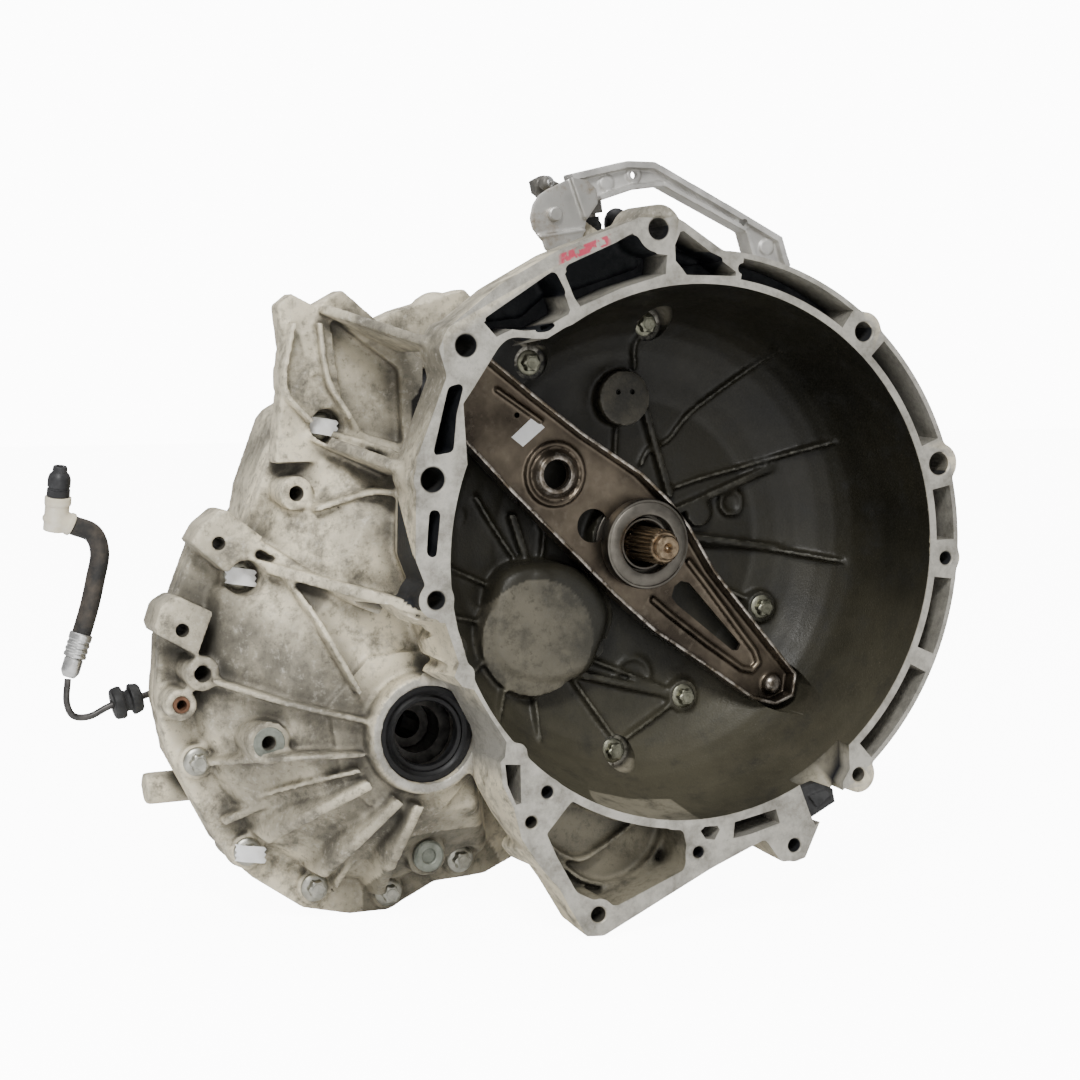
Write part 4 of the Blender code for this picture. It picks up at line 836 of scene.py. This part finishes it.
def shell_details():
    """Ribs, bosses and the channel on the outside, over the differential and beside the bell."""
    pieces = []
    thin = [
        [(-245, 92, -4), (-229, 55, -37), (-205, 53, -80)],
        [(-286, 86, -73), (-250, 56, -84), (-200, 53, -98)],
        [(-286, 108, -127), (-252, 54, -117), (-203, 53, -118)],
        [(-222, 82, 29), (-192, 68, 39), (-182, 34, 40)],
        [(-232, 92, 141), (-238, 92, 103), (-222, 92, 82)],
        [(-216, 91, 141), (-211, 91, 108), (-197, 91, 84)],
        [(-262, 108, -152), (-240, 74, -138), (-205, 55, -128)],
    ]
    thick = [
        [(-251, 101, -175), (-236, 70, -157), (-200, 56, -137)],
        [(-216, 99, -200), (-205, 67, -175), (-181, 56, -149)],
        [(-175, 110, -218), (-179, 69, -186), (-168, 56, -153)],
    ]
    for line in thin:
        pieces += crest([(x, y - 5, z) for x, y, z in line], 3.2, 21)
    for line in thick:
        pieces += crest([(x, y - 9, z) for x, y, z in line], 5.6, 30, 3.4)
    pieces += crest([(-268, 92, 16), (-244, 88, 1), (-218, 57, -18), (-186, 16, -32), (-168, 4, -38)], 5, 20)
    pieces += crest([(-203, 92, 72), (-182, 60, 64), (-178, 12, 56)], 4.5, 20)
    for at, outer, inner, front in (
        ((-258, -109), 13.2, 4.4, 61.5), ((-150, -192), 13.4, 12.0, 84.0), ((-291, -69), 10.6, 5.2, 87.5),
        ((-303, -88), 9.8, 5.4, 93.5), ((-231, 38), 10.6, 5.2, 89.5),
    ):
        pieces.append(tube(at, outer, inner, front, 120))
    # Steps along the flange's left edge, beside the drive shaft bore.
    for x, z, radius in ((-162, -50, 9), (-160, -70, 8), (-140, -102, 8), (-129, -125, 9), (-108, -180, 8)):
        pieces.append(disc((x, z), radius, 2, 44))
    pieces.append(turned([(30.6, 44.6), (35.6, 44.6), (36.6, 46), (40.5, 72), (30.6, 72)], DIFF_AXIS))
    plate = [(-222, -88), (-214, -134), (-196, -152), (-150, -160), (-120, -128), (-150, -56), (-196, -60)]
    pieces.append(prism(plate, 58.5, 70))
    # A blank raised pad on the channel.
    pieces.append(prism([(-228, 136), (-219, 138), (-214, 112), (-220, 108)], 93.6, 100))
    for at in JOINT_BOLTS:
        pieces.append(turned([(5, 113.4), (11, 113.4), (12.4, 126), (5, 126)], at))
    return pieces


def flange_details():
    """Round bosses on the engine flange and the ridges in its lower corner."""
    pieces = []
    for angle, distance, boss, _ in FLANGE_BOLTS:
        pieces.append(disc(polar(distance, angle), boss, SPARE_Y, 38))
    for x, z in ((18, -173), (156, -72)):
        pieces.append(disc((x, z), 5.5, SPARE_Y, 34))
    rim = arc(186.2, -56, 85, 90) + arc(180, 85, -56, 90)
    pieces.append(prism(rim, SPARE_Y, 37))
    for at in LAND_PADS:
        pieces.append(disc(at, 6.4, SPARE_Y, 24))
    bay_wall = [(-83, 147), (-94, 139.5), (-105, 133.6), (-126, 134), (-134, 129.6), (-141, 121)]
    pieces += crest([(x, SPARE_Y, z) for x, z in bay_wall], 3.6, 37, 1.0)
    ridges = [
        [(-91, 30, -178), (-80, 30, -187), (-70, 30, -191), (-60, 30, -189), (-44, 31, -180), (-29, 32, -171)],
        [(-86, 31, -188), (-66, 31, -204), (-48, 31, -209), (-31, 31, -205), (-16, 31, -193), (-9, 32, -179)],
    ]
    for line in ridges:
        pieces += crest(line, 2.6, 10)
    return pieces


def clutch_housing():
    body = stretched_front(from_cad("clutch_housing"))
    pieces = [body, *flange_details(), *bell_floor_details(), *shell_details()]
    skin = cast("clutch_housing_casting", pieces, 1.5, 4)
    # The engine face, then the bays and pockets, then every drilled or bored hole.
    machined(skin, [slab(-20, 0)])
    away = [(-82, -250), (-260, -250), (-260, -24)]
    beyond = loft([
        (SPARE_Y, [*LAND_EDGE, *away]), (0.5, [*LAND_EDGE, *away]), (32, [*LAND_BACK, *away]),
        (44.5, [(x - 1, z) for x, z in LAND_BACK] + away),
    ])
    machined(skin, [beyond])
    low, high = RIM_POCKET_RADII
    pockets = [
        loft([(-2, arc(high, a, b, 24) + arc(low, b, a, 24)),
              (33, arc(high - 1, a + 0.4, b - 0.4, 24) + arc(low + 0.6, b - 0.4, a + 0.4, 24))])
        for a, b in RIM_POCKETS
    ]
    bay_back = [(x * 0.95, z * 0.95) for x, z in FORK_BAY_OUTLINE]
    pockets.append(loft([(-2, FORK_BAY_OUTLINE), (96, bay_back)]))
    pockets.append(disc((101, -99), 17, 30, 98.5))
    pockets += [loft([(-2, outline), (31, inset(outline, 0.9))]) for outline in FACE_POCKETS]
    seats = {index: disc(at, 11.2, 60, BELL_SEAT_Y - 2.4) for index, at in enumerate(BELL_BOLTS)}
    machined(skin, [*pockets, seats[1], seats[4], seats[3]])
    machined(skin, [seats[0], seats[2]])
    notch = [
        (70, -148), (80, -134), (106, -122), (107, -142), (102, -150), (102, -166), (82, -176), (78, -168),
    ]
    holes = []
    for angle, distance, _, hole in FLANGE_BOLTS:
        at = polar(distance, angle)
        chamfer = [(0, -2), (hole + 1.0, -2), (hole + 1.0, 0), (hole, 1.1)]
        holes.append(turned([*chamfer, (hole, 44), (0, 44)], at, 48))
    holes += [disc(at, 4.4, 95, JOINT_Y + 1) for at in BELL_BOLTS]
    holes += [disc(at, 4.4, 100, JOINT_Y + 1) for at in JOINT_BOLTS]
    for at, radius, front, back in (
        ((-258, -109), 4.2, 55, 90), ((-291, -69), 5, 80, JOINT_Y + 1), ((-231, 38), 4.6, 80, JOINT_Y + 1),
        ((-279, 9), 4, 85, JOINT_Y + 1), ((-303, -42), 4, 80, JOINT_Y + 1), ((-303, -88), 5.2, 85, 112),
    ):
        holes.append(disc(at, radius, front, back))
    seal_bore = [(0, 40), (30.3, 40), (30.3, 60), (26, 61), (24, 62), (24, 86), (0, 86)]
    holes.append(turned(seal_bore, DIFF_AXIS))
    for x in (-13, -3):
        holes.append(disc((x, 98), 1.8, 90, 98))
    holes.append(prism(notch, -2, 13))
    machined(skin, holes)
    paint_tones(skin)
    piece(skin, "clutch_housing_casting", "cast", "cast_aluminium", "clutch_housing", sharp=42)


# The long part of the gear housing seen from its end, without its rounded left side.
BARREL = [(-19, -123), (48, -67), (70, -36), (74, 20), (65, 88), (50, 108), (8, 121), (-64, 113), (-82, 92)]
COVER_Y = 300.0  # where the end cover meets the gear housing
COVER_BOLTS = [(63, -66), (82, -8), (78, 52), (58, 116), (6, 130), (-56, 122)] + [
    polar(93, angle, OUTPUT_AXIS) for angle in (122, 158, 194, 230, 266, 300)
]


def gear_housing():
    body = from_cad("gear_housing")
    pieces = [body]
    barrel = BARREL + arc(85, 112, 304, 24, OUTPUT_AXIS)
    pieces.append(prism(inset(barrel, -6), COVER_Y - 6, COVER_Y - 0.8))
    pieces.append(prism(inset(barrel, -6), COVER_Y + 0.8, COVER_Y + 6))
    pieces.append(prism(inset(barrel, -3), COVER_Y - 2, COVER_Y + 2))
    pieces += [disc(at, 8, COVER_Y - 12, COVER_Y + 11) for at in COVER_BOLTS]
    for x, z in ((74, -12), (72, 44), (22, 119), (-10, 119), (-42, 116), (20, -91), (44, -71)):
        pieces.append(rod((x, 150, z), (x, 338, z * 0.98), 3.6))
    lug = [
        (-168, 118), (-162, 144), (-146, 151), (-128, 156), (-115, 161), (-100, 165), (-88, 152), (-86, 108),
    ]
    pieces.append(prism(lug, 144, 166))
    pieces.append(disc((-118, 146), 17, 148, 158))
    for angle in (128, 165, 195, 225, 255):
        near, far = polar(42, angle, DIFF_AXIS), polar(104, angle, DIFF_AXIS)
        pieces += crest([(near[0], 224, near[1]), (far[0], 180, far[1])], 3.5, -26)
    for y in (232, 262, 292, 322):
        ring = [polar(86.5, angle, OUTPUT_AXIS) for angle in range(120, 300, 12)]
        inner = [polar(80, angle, OUTPUT_AXIS) for angle in range(288, 108, -12)]
        pieces.append(prism(ring + inner, y - 2, y + 2))
    for at in JOINT_BOLTS:
        pieces.append(disc(at, 11, 134, 157))
    skin = cast("gear_housing_casting", pieces, 2.0, 4)
    machined(skin, [slab(HOUSING_END_Y, 400)])
    machined(skin, [
        tube(INPUT_AXIS, 31, 28, HOUSING_END_Y - 2.4, HOUSING_END_Y + 4),
        tube(OUTPUT_AXIS, 34, 31, HOUSING_END_Y - 2.4, HOUSING_END_Y + 4),
        disc(INPUT_AXIS, 9, HOUSING_END_Y - 3.5, HOUSING_END_Y + 4),
        disc(OUTPUT_AXIS, 9, HOUSING_END_Y - 3.5, HOUSING_END_Y + 4),
        disc((-20, 70), 7, HOUSING_END_Y - 6, HOUSING_END_Y + 4),
    ])
    paint_tones(skin)
    piece(skin, "gear_housing_casting", "cast", "cast_aluminium", "gear_housing", sharp=42)


# Clutch release -----------------------------------------------------------------------------------

FORK_RIM = (
    (-112, 122), (-77, 95), (-44, 71), (-3, 45), (16, 28), (31, 10), (50, -20), (80, -55), (112, -92),
    (110, -106),
    (97, -111), (80, -106), (42, -80), (7, -57), (-22, -32), (-50, -5), (-94, 37), (-126, 70), (-142, 92),
)


def on_line(outline, y):
    return [(x, y, z) for x, z in outline]


def release_fork():
    """The pressed steel fork: a channel with rolled rims, a dished hole, a tapered slot and a ball seat."""
    rim = list(FORK_RIM)
    floor = prism(inset(rim, 1.0), 89.6, 92)
    walls = [floor]
    open_end = rim[-1]
    for first, second in zip(rim, rim[1:] + rim[:1]):
        if open_end in (first, second):
            continue
        walls += crest([(first[0], 77.8, first[1]), (second[0], 77.8, second[1])], 2.2, 14, 1.25)
    hole = (-60, 46)
    slot = [(24, -37), (26, -30), (31, -26.5), (37, -28), (76, -71), (74, -75), (70, -75), (28, -42)]
    walls.append(turned([(9.5, 84.5), (12, 84.5), (18, 90), (19, 92), (9.5, 92)], hole, 48))
    walls += bead(on_line([polar(19.5, angle, hole) for angle in range(0, 360, 15)], 88.8), 1.8, 8, True)
    track = [
        (36, -14), (46, -26), (62, -46), (86, -76), (89, -84), (84, -89), (76, -87), (50, -69), (22, -48),
        (10, -38),
    ]
    walls += bead(on_line(track, 88.4), 2.2, 8)
    ball_x, _, ball_z = FORK_BALL
    ball_seat = [(0, 83.2), (3.2, 83.6), (5.6, 85.2), (7, 88.5), (8.2, 91), (0, 91)]
    walls.append(turned(ball_seat, (ball_x, ball_z), 40))
    walls += bead(on_line([(-100, 100), (-88, 92), (-70, 80)], 88.6), 1.6, 8)
    skin = cast("release_fork_pressed", walls, 0.8, 3)
    machined(skin, [disc((0, 0), 31.0, 60, 89.2, 96), prism(slot, 60, 100), disc(hole, 9.3, 60, 100)])
    through = [disc((0, 0), 21.5, 60, 100, 96), disc((-33, 12), 11, 60, 100), disc((-86, 84), 1.8, 60, 100)]
    machined(skin, through)
    x, y, z = places_of(skin)
    rolled = 0.8 * np.clip((79.4 - y) / 1.0, 0, 1)
    ring = (np.abs(np.hypot(x - hole[0], z - hole[1]) - 11.5) < 2.6) & (y < 88)
    seat = (np.hypot(x - ball_x, z - ball_z) < 6) & (y < 88)
    store_tone(skin, np.maximum(np.maximum(rolled, 0.55 * ring), 0.8 * seat))
    piece(skin, "release_fork_pressed", "fork", "pressed_steel", "release_fork", body="release_fork")
    label = prism([(-90, 70), (-82, 64), (-67, 76), (-75, 83)], 89.2, 89.5)
    piece(label, "fork_label", "paper", "white_plastic", body="release_fork")


def release_bearing():
    race = turned([
        (18.6, 76), (19.4, 75), (21, 74.7), (26.6, 75.4), (27.2, 75.8), (27.6, 75.3), (28.8, 75.6),
        (29.4, 76.8),
        (29.4, 83.4), (18.6, 83.4),
    ])
    piece(race, "release_bearing_face", "bearing", "bearing_steel", "release_bearing_race",
          body="release_race")
    carrier = turned([
        (17.4, 84), (28.6, 84), (29, 84.4), (29, 85.4), (20.4, 86.6), (20, 87), (20, 91), (17.4, 91),
    ])
    piece(carrier, "release_bearing_carrier", "bearing", "machined_steel", "release_bearing",
          body="release_carrier")
    sleeve = turned([
        (15, 80.6), (15.6, 80), (16.6, 80), (17, 80.6), (17, 92), (17.6, 92.6), (28.6, 92.6), (29, 93),
        (29, 95.7), (15, 95.7),
    ])
    piece(sleeve, "guide_sleeve_turned", "bearing", "machined_steel", "guide_sleeve")


def input_shaft():
    """The CAD shaft behind the bell floor with a finely splined nose in front of it."""
    rear = from_cad("input_shaft")
    build = bmesh.new()
    build.from_mesh(rear.data)
    everything = [*build.verts, *build.edges, *build.faces]
    cut = bmesh.ops.bisect_plane(
        build, geom=everything, plane_co=(0, 87 * MM, 0), plane_no=(0, -1, 0), clear_outer=True,
    )
    rim = [part for part in cut["geom_cut"] if isinstance(part, bmesh.types.BMEdge)]
    bmesh.ops.contextual_create(build, geom=rim)
    build.to_mesh(rear.data)
    build.free()
    teeth, crown, root = 24, 11.35, 10.0
    tooth = ((root, -5.6), (crown - 0.3, -3.6), (crown, -2.8), (crown, 2.8), (crown - 0.3, 3.6), (root, 5.6))
    spline = [polar(radius, 360 / teeth * turn + offset) for turn in range(teeth) for radius, offset in tooth]

    def drawn(limit):
        """The splined outline cut down to a radius."""
        shares = [min(1, limit / math.hypot(x, z)) for x, z in spline]
        return [(x * share, z * share) for share, (x, z) in zip(shares, spline)]

    nose = loft([(51.2, drawn(9.4)), (52.0, drawn(10.2)), (54.2, spline), (86, spline), (88.5, drawn(9.5))])
    pilot = turned([
        (0, 50), (1.6, 49), (1.6, 48.2), (3.4, 46.2), (7.1, 46.2), (8, 47.2), (8, 50.6), (7.4, 51),
        (7.4, 51.8),
        (9.2, 52.4), (9.2, 60), (0, 60),
    ], segments=64)
    neck = turned([(0, 84), (9.6, 84), (13, 92), (13, 100), (0, 100)], segments=64)
    parts = joined("input_shaft_splined", [rear, nose, pilot, neck])
    piece(parts, "input_shaft_splined", "spline", "gear_steel", "input_shaft", body="input_shaft")


# Seals, plugs, bolts ------------------------------------------------------------------------------


def lobed(radius, depth, at=(0.0, 0.0), lobes=6, count=60):
    """A six-lobed outline, as on a star-headed bolt."""
    return [polar(radius + depth * math.cos(math.radians(lobes * 360 * i / count)), 360 * i / count, at)
            for i in range(count)]


def bolt(at, seat, length):
    """A flanged star-headed bolt along Y with its head in front of the seat."""
    head = loft([
        (seat - 8.8, lobed(4.6, 0.45, at)), (seat - 8.3, lobed(5.3, 0.55, at)),
        (seat - 2.2, lobed(5.4, 0.55, at)),
    ])
    flange = turned([
        (0, seat - 3.2), (6.6, seat - 3.2), (8.6, seat - 2.2), (9, seat - 1.6), (9, seat - 0.4),
        (4, seat - 0.4),
        (4, seat + length), (0, seat + length),
    ], at, 48)
    dimple = turned([(1.2, seat - 9.1), (3.4, seat - 9.1), (3.8, seat - 8.6), (1.2, seat - 8.6)], at, 32)
    return joined("bolt", [head, flange, dimple])


def bolts():
    """The bolt heads in sight. Only the first two of each kind have a CAD node to stand in for."""
    for kind, places, seat, length, look in (
        ("joint_bolt", JOINT_BOLTS, JOINT_SEAT_Y, 30, "zinc"),
        ("bell_bolt", BELL_BOLTS, BELL_SEAT_Y, 42, "olive"),
    ):
        for number, at in enumerate(places, 1):
            replaced = [name for name in (f"{kind}_{number}",) if name in nodes]
            piece(bolt(at, seat, length), f"{kind}_head_{number}", look, "zinc_plate", *replaced)
    cover = [placed(bolt((0, 0), 0, 18), (x, COVER_Y + 10.6, z), (0, -1, 0)) for x, z in COVER_BOLTS]
    piece(joined("end_cover_bolts", cover), "end_cover_bolts", "zinc", "zinc_plate")


def sticker(at, seat, name):
    """A blank torn paper seal, wrapped over a bolt's head."""
    x, z = at
    rows, columns = 7, 13
    points = []
    for row in range(rows):
        for column in range(columns):
            u, v = column / (columns - 1) * 2 - 1, row / (rows - 1) * 2 - 1
            lift = 9.6 - 4.2 * max(0.0, abs(u) - 0.45) ** 1.2 + 0.5 * math.sin(5 * u + 3 * v)
            ragged = 1 + 0.08 * math.sin(9 * v + 2 * u)
            points.append((x + 9.4 * u * ragged, seat - lift, z + 5.2 * v - 1.6 * u))
    faces = [
        [r * columns + c, r * columns + c + 1, (r + 1) * columns + c + 1, (r + 1) * columns + c]
        for r in range(rows - 1) for c in range(columns - 1)
    ]
    obj = make_object("sticker", points, faces)
    obj.modifiers.new("paper", "SOLIDIFY").thickness = 0.25 * MM
    piece(evaluated(obj), name, "paper", "white_plastic")


def seals_and_plugs():
    seal = turned([
        (19.6, 52), (20.4, 50.2), (22.5, 49.6), (24, 51), (25.4, 50.4), (26.4, 49.2), (29.4, 49),
        (29.9, 49.6),
        (29.9, 58), (22, 58), (22, 54), (19.6, 54),
    ], DIFF_AXIS)
    piece(seal, "right_seal_lips", "seal", "black_rubber", "right_drive_seal")
    x, z = DRAIN_AXIS
    plug = turned([
        (4.6, 82.5), (4.6, 79.8), (5.2, 79.3), (8.6, 79.3), (10, 80.4), (10, 83.6), (4, 83.6), (4, 98),
        (0, 98), (0, 82.5),
    ], (x, z), 48)
    piece(plug, "drain_plug_turned", "bush", "zinc_plate", "drain_plug")
    bush = turned([(4.4, 61.6), (4.9, 61), (9.3, 61), (9.8, 61.5), (9.8, 66), (4.4, 66)], (-258, -109), 48)
    piece(bush, "mount_bush", "bush", "machined_steel")
    dowel = turned([(3.2, 92.8), (4.8, 92.8), (5, 93.2), (5, 110), (3.2, 110)], (-303, -88), 40)
    piece(dowel, "rusty_dowel", "rust", "zinc_plate")
    plug = cast("notch_plug", [
        prism([(73, -154), (86, -150), (99, -155), (101, -164), (83, -173)], 7, 26),
        prism([(80, -158), (92, -155), (97, -158), (86, -166)], 4.5, 24),
    ], 0.8, 3)
    piece(plug, "notch_plug", "rubber", "black_rubber")


# Hydraulic line -----------------------------------------------------------------------------------

PIPE_ROUTE = (
    (-122, 164.5, 92), (-122, 176, 93), (-134, 206, 100), (-158, 240, 92), (-196, 262, 60), (-234, 262, 4),
    (-262, 248, -42), (-282, 222, -74), (-296, 184, -86), (-304, 158, -88), (-314, 147, -89.5),
    (-325, 146, -91.8), (-336, 146, -94.5), (-348, 146, -100), (-358, 146, -99), (-362, 146, -90),
    (-361, 146, -76),
)
HOSE_ROUTE = (
    (-352, 146, -48), (-347, 146, -32), (-343, 146, -15), (-340, 146, 1), (-344, 146, 13),
    (-356, 146, 18.5),
)
PIPE_R, HOSE_R = 2.1, 6.0


def bent_tube(points, radius):
    curve = bpy.data.curves.new("route", "CURVE")
    curve.dimensions = "3D"
    curve.bevel_depth = radius * MM
    curve.bevel_resolution = 6
    curve.use_fill_caps = True
    spline = curve.splines.new("POLY")
    spline.points.add(len(points) - 1)
    for target, point in zip(spline.points, points):
        target.co = (*(point * MM), 1)
    return linked("route", curve)


def hydraulic_line():
    pipe = bent_tube(smooth_line(PIPE_ROUTE, 6), PIPE_R)
    piece(pipe, "hydraulic_pipe_bent", "pipe", "pipe_steel", "hydraulic_pipe")
    grommet = turned([
        (2.9, -9), (7.6, -9), (8.8, -8), (9.8, -4), (9.6, -2.6), (7, -1.6), (6.4, 0), (7, 1.6),
        (9.8, 2.4), (10.4, 4),
        (9.8, 8), (8.8, 9), (2.9, 9),
    ], segments=48)
    placed(grommet, (-325, 146, -91.7), (-1, 0, -0.22))
    piece(grommet, "pipe_grommet_moulded", "rubber", "black_rubber", "pipe_grommet")
    start, end = Vector(PIPE_ROUTE[-1]), Vector(HOSE_ROUTE[0])
    length = (end - start).length
    profile = [(0, 1.2), (3.4, 1.2), (4.2, 2), (5.4, 4), (5.8, 5), (5.8, 12.6), (5.2, 13.4), (7, 14.2)]
    for groove in (17, 20.5, 24):
        profile += [(7.1, groove - 1.2), (6.6, groove - 0.5), (6.6, groove + 0.5), (7.1, groove + 1.2)]
    profile += [(7.1, length - 1), (6.6, length - 0.3), (0, length - 0.3)]
    ferrule = placed(turned(profile, segments=48), start, end - start)
    piece(ferrule, "hose_ferrule_crimped", "ferrule", "zinc_plate", "hose_ferrule")
    x, y, z = HOSE_ROUTE[-1]
    top = (x - 9, y - 2, z + 18)
    elbow = cast("hose_elbow_moulded", [
        rod((x - 0.5, y, z + 0.2), (x - 9, y, z + 4), 6.6),
        rod((x - 10.5, y + 2, z - 3), top, 7.4),
        rod((x - 9.2, y - 1.2, z + 13), top, 8.1),
        rod((x - 10.2, y + 1.4, z + 3), (x - 10, y + 0.9, z + 5.4), 8.1),
        rod((x - 0.5, y, z + 0.2), (x - 3, y, z + 1.4), 7.2),
    ], 0.6, 2)
    piece(elbow, "hose_elbow_moulded", "elbow", "white_plastic", "hose_elbow")
    connector = turned([
        (2.2, 8), (2.2, 18.4), (2.8, 19), (4, 19), (4.4, 18), (4.6, 15.4), (6.2, 13.6), (7, 11), (7, 6.4),
        (6.4, 6),
        (6.4, 5), (7, 4.6), (7, 0.3), (0, 0.3), (0, 8),
    ], segments=48)
    placed(connector, top, (0.05, -0.22, 1))
    piece(connector, "elbow_connector_cap", "plastic", "black_plastic", "elbow_connector")
    route = smooth_line(HOSE_ROUTE, 6)
    hose = bent_tube(route, HOSE_R)
    piece(hose, "pressure_hose_rubber", "hose", "black_rubber", "pressure_hose")


# Gear selector ------------------------------------------------------------------------------------

SELECTOR_UP = Vector((-0.15, 0, 0.989)).normalized()
SELECTOR_SIDE = Vector((0.989, 0, 0.15)).normalized()
SELECTOR_SEAT = Vector((6, 172, 168))
SELECT_PIVOT = (-39, 140, 214)


def on_selector(obj, side=0.0):
    """Places an object made about the Y axis on the selector's axis, with its y as height."""
    axes = Matrix((SELECTOR_SIDE, SELECTOR_UP, Vector((0, -1, 0)))).transposed().to_4x4()
    obj.data.transform(Matrix.Translation((SELECTOR_SEAT + SELECTOR_SIDE * side) * MM) @ axes)
    return obj


def selector():
    cover = cast("selector_cover_casting", [from_cad("selector_cover")], 1.0, 4)
    store_tone(cover)
    piece(cover, "selector_cover_casting", "cast", "cast_aluminium", "selector_cover")
    boot = turned([
        (7.6, 28.5), (12.6, 28.5), (13, 29.4), (11, 32), (10, 33), (11.4, 35.4), (11, 37.6), (9.6, 39),
        (10.4, 41),
        (9, 44), (9, 47), (7.6, 47),
    ], segments=64)
    piece(on_selector(boot), "selector_boot_moulded", "rubber", "black_rubber", "selector_boot")
    cap = turned([
        (0, 8.6), (4, 8.6), (4, 27), (8.6, 27.6), (9, 28.4), (9, 41), (8.2, 45), (6, 48.4), (3, 50.4),
        (0, 51),
    ], segments=64)
    piece(on_selector(cap, 22.5), "breather_cap_moulded", "plastic", "black_plastic", "breather_cap")
    lever = cast("shift_lever_casting", [from_cad("shift_lever")], 0.8, 3)
    piece(lever, "shift_lever_casting", "dull", "cast_aluminium", "shift_lever", body="selector")
    piece(ball((-35, 160, 236), 5), "shift_lever_ball", "ferrule", "machined_steel", body="selector")

    px, _, pz = SELECT_PIVOT
    crank_outline = [
        (-56, 211), (-54, 220), (-50, 226), (-44, 230), (-27, 238), (-24, 234), (-15, 213), (-17, 202),
        (-19, 198), (-48, 197), (-54, 204),
    ]
    crank = cast("select_lever_stamped", [
        prism(crank_outline, 139.0, 141.4),
        prism([(-28, 238), (-16, 237), (-9, 231), (-8, 222), (-16, 211), (-19, 216)], 136.4, 139.6),
        prism([(-49, 200), (-18, 205), (-20, 194), (-35, 183), (-46, 191)], 137.0, 139.8),
        *bead([(-49, 138.2, 199), (-18, 138.2, 204)], 1.6, 8),
        *bead([(-26, 138, 237), (-17, 138, 213)], 1.6, 8),
    ], 0.8, 2)
    pin = turned([
        (0, 134.8), (3.8, 134.8), (4.8, 135.6), (5, 137), (5, 139.4), (4, 139.4), (4, 158), (0, 158),
    ], (px, pz), 40)
    crank = joined("select_lever_stamped", [crank, pin])
    piece(crank, "select_lever_stamped", "crank", "zinc_plate", "select_lever", body="select_lever")

    web = [
        (-25, 241), (16, 251), (36, 251), (90, 225), (134, 203), (141, 183), (106, 82), (82, 100),
        (112, 184), (105, 206), (42, 235), (20, 232), (-4, 224),
    ]
    upper = [(-25, 241), (16, 251), (36, 251), (90, 225), (134, 203), (141, 183)]
    lower = [(-4, 224), (20, 232), (42, 235), (105, 206), (112, 184)]
    parts = [prism(inset(web, 0.6), 146, 149.5)]
    for line, width in ((upper, 4.6), (lower, 3.4)):
        for (x0, z0), (x1, z1) in zip(line, line[1:]):
            dx, dz = Vector((z1 - z0, x0 - x1)).normalized() * (width if line is upper else -width)
            parts.append(prism([(x0, z0), (x1, z1), (x1 + dx, z1 + dz), (x0 + dx, z0 + dz)], 140.4, 157))
    for x, z in ((2, 236), (22, 242), (104, 212), (124, 196)):
        parts.append(disc((x, z), 5.2, 144.4, 150))
    bracket = cast("cable_bracket_casting", parts, 0.9, 2)
    machined(bracket, [disc((22, 242), 2.6, 130, 160), disc((104, 212), 2.6, 130, 160)])
    piece(bracket, "cable_bracket_casting", "bracket", "cast_aluminium", "cable_bracket")


# Carried-over CAD nodes ---------------------------------------------------------------------------

NODE_LOOKS = {
    "gear": ("output_shaft", "first_gear", "second_gear", "third_gear", "fourth_gear", "fifth_gear",
             "reverse_gear", "reverse_idler_gear", "ring_gear"),
    "sunk": ("side_gear_left", "side_gear_right", "planet_gear_upper", "planet_gear_lower",
             "differential_case"),
    "machined": ("synchro_sleeve_12", "synchro_sleeve_34", "synchro_sleeve_5r", "planet_pin",
                 "fork_ball_stud", "push_rod", "selector_shaft", "fork_rail"),
    "bronze": ("shift_12_fork", "shift_34_fork", "shift_5r_fork"),
    "bearing": ("input_front_bearing", "input_rear_bearing", "output_front_bearing", "output_rear_bearing",
                "diff_right_bearing", "diff_left_bearing"),
    "plastic": ("slave_cylinder",),
    "seal": ("left_drive_seal",),
}


def carried_over():
    for look, names in NODE_LOOKS.items():
        for name in names:
            node = nodes[name]
            node.data.materials.clear()
            node.data.materials.append(LOOKS[look])


camera()
studio()
floor()
hydraulic_line()
clutch_housing()
gear_housing()
release_fork()
release_bearing()
input_shaft()
seals_and_plugs()
bolts()
for number, index in enumerate((6, 5, 1), 1):
    sticker(JOINT_BOLTS[index], JOINT_SEAT_Y, f"paper_seal_{number}")
selector()
carried_over()
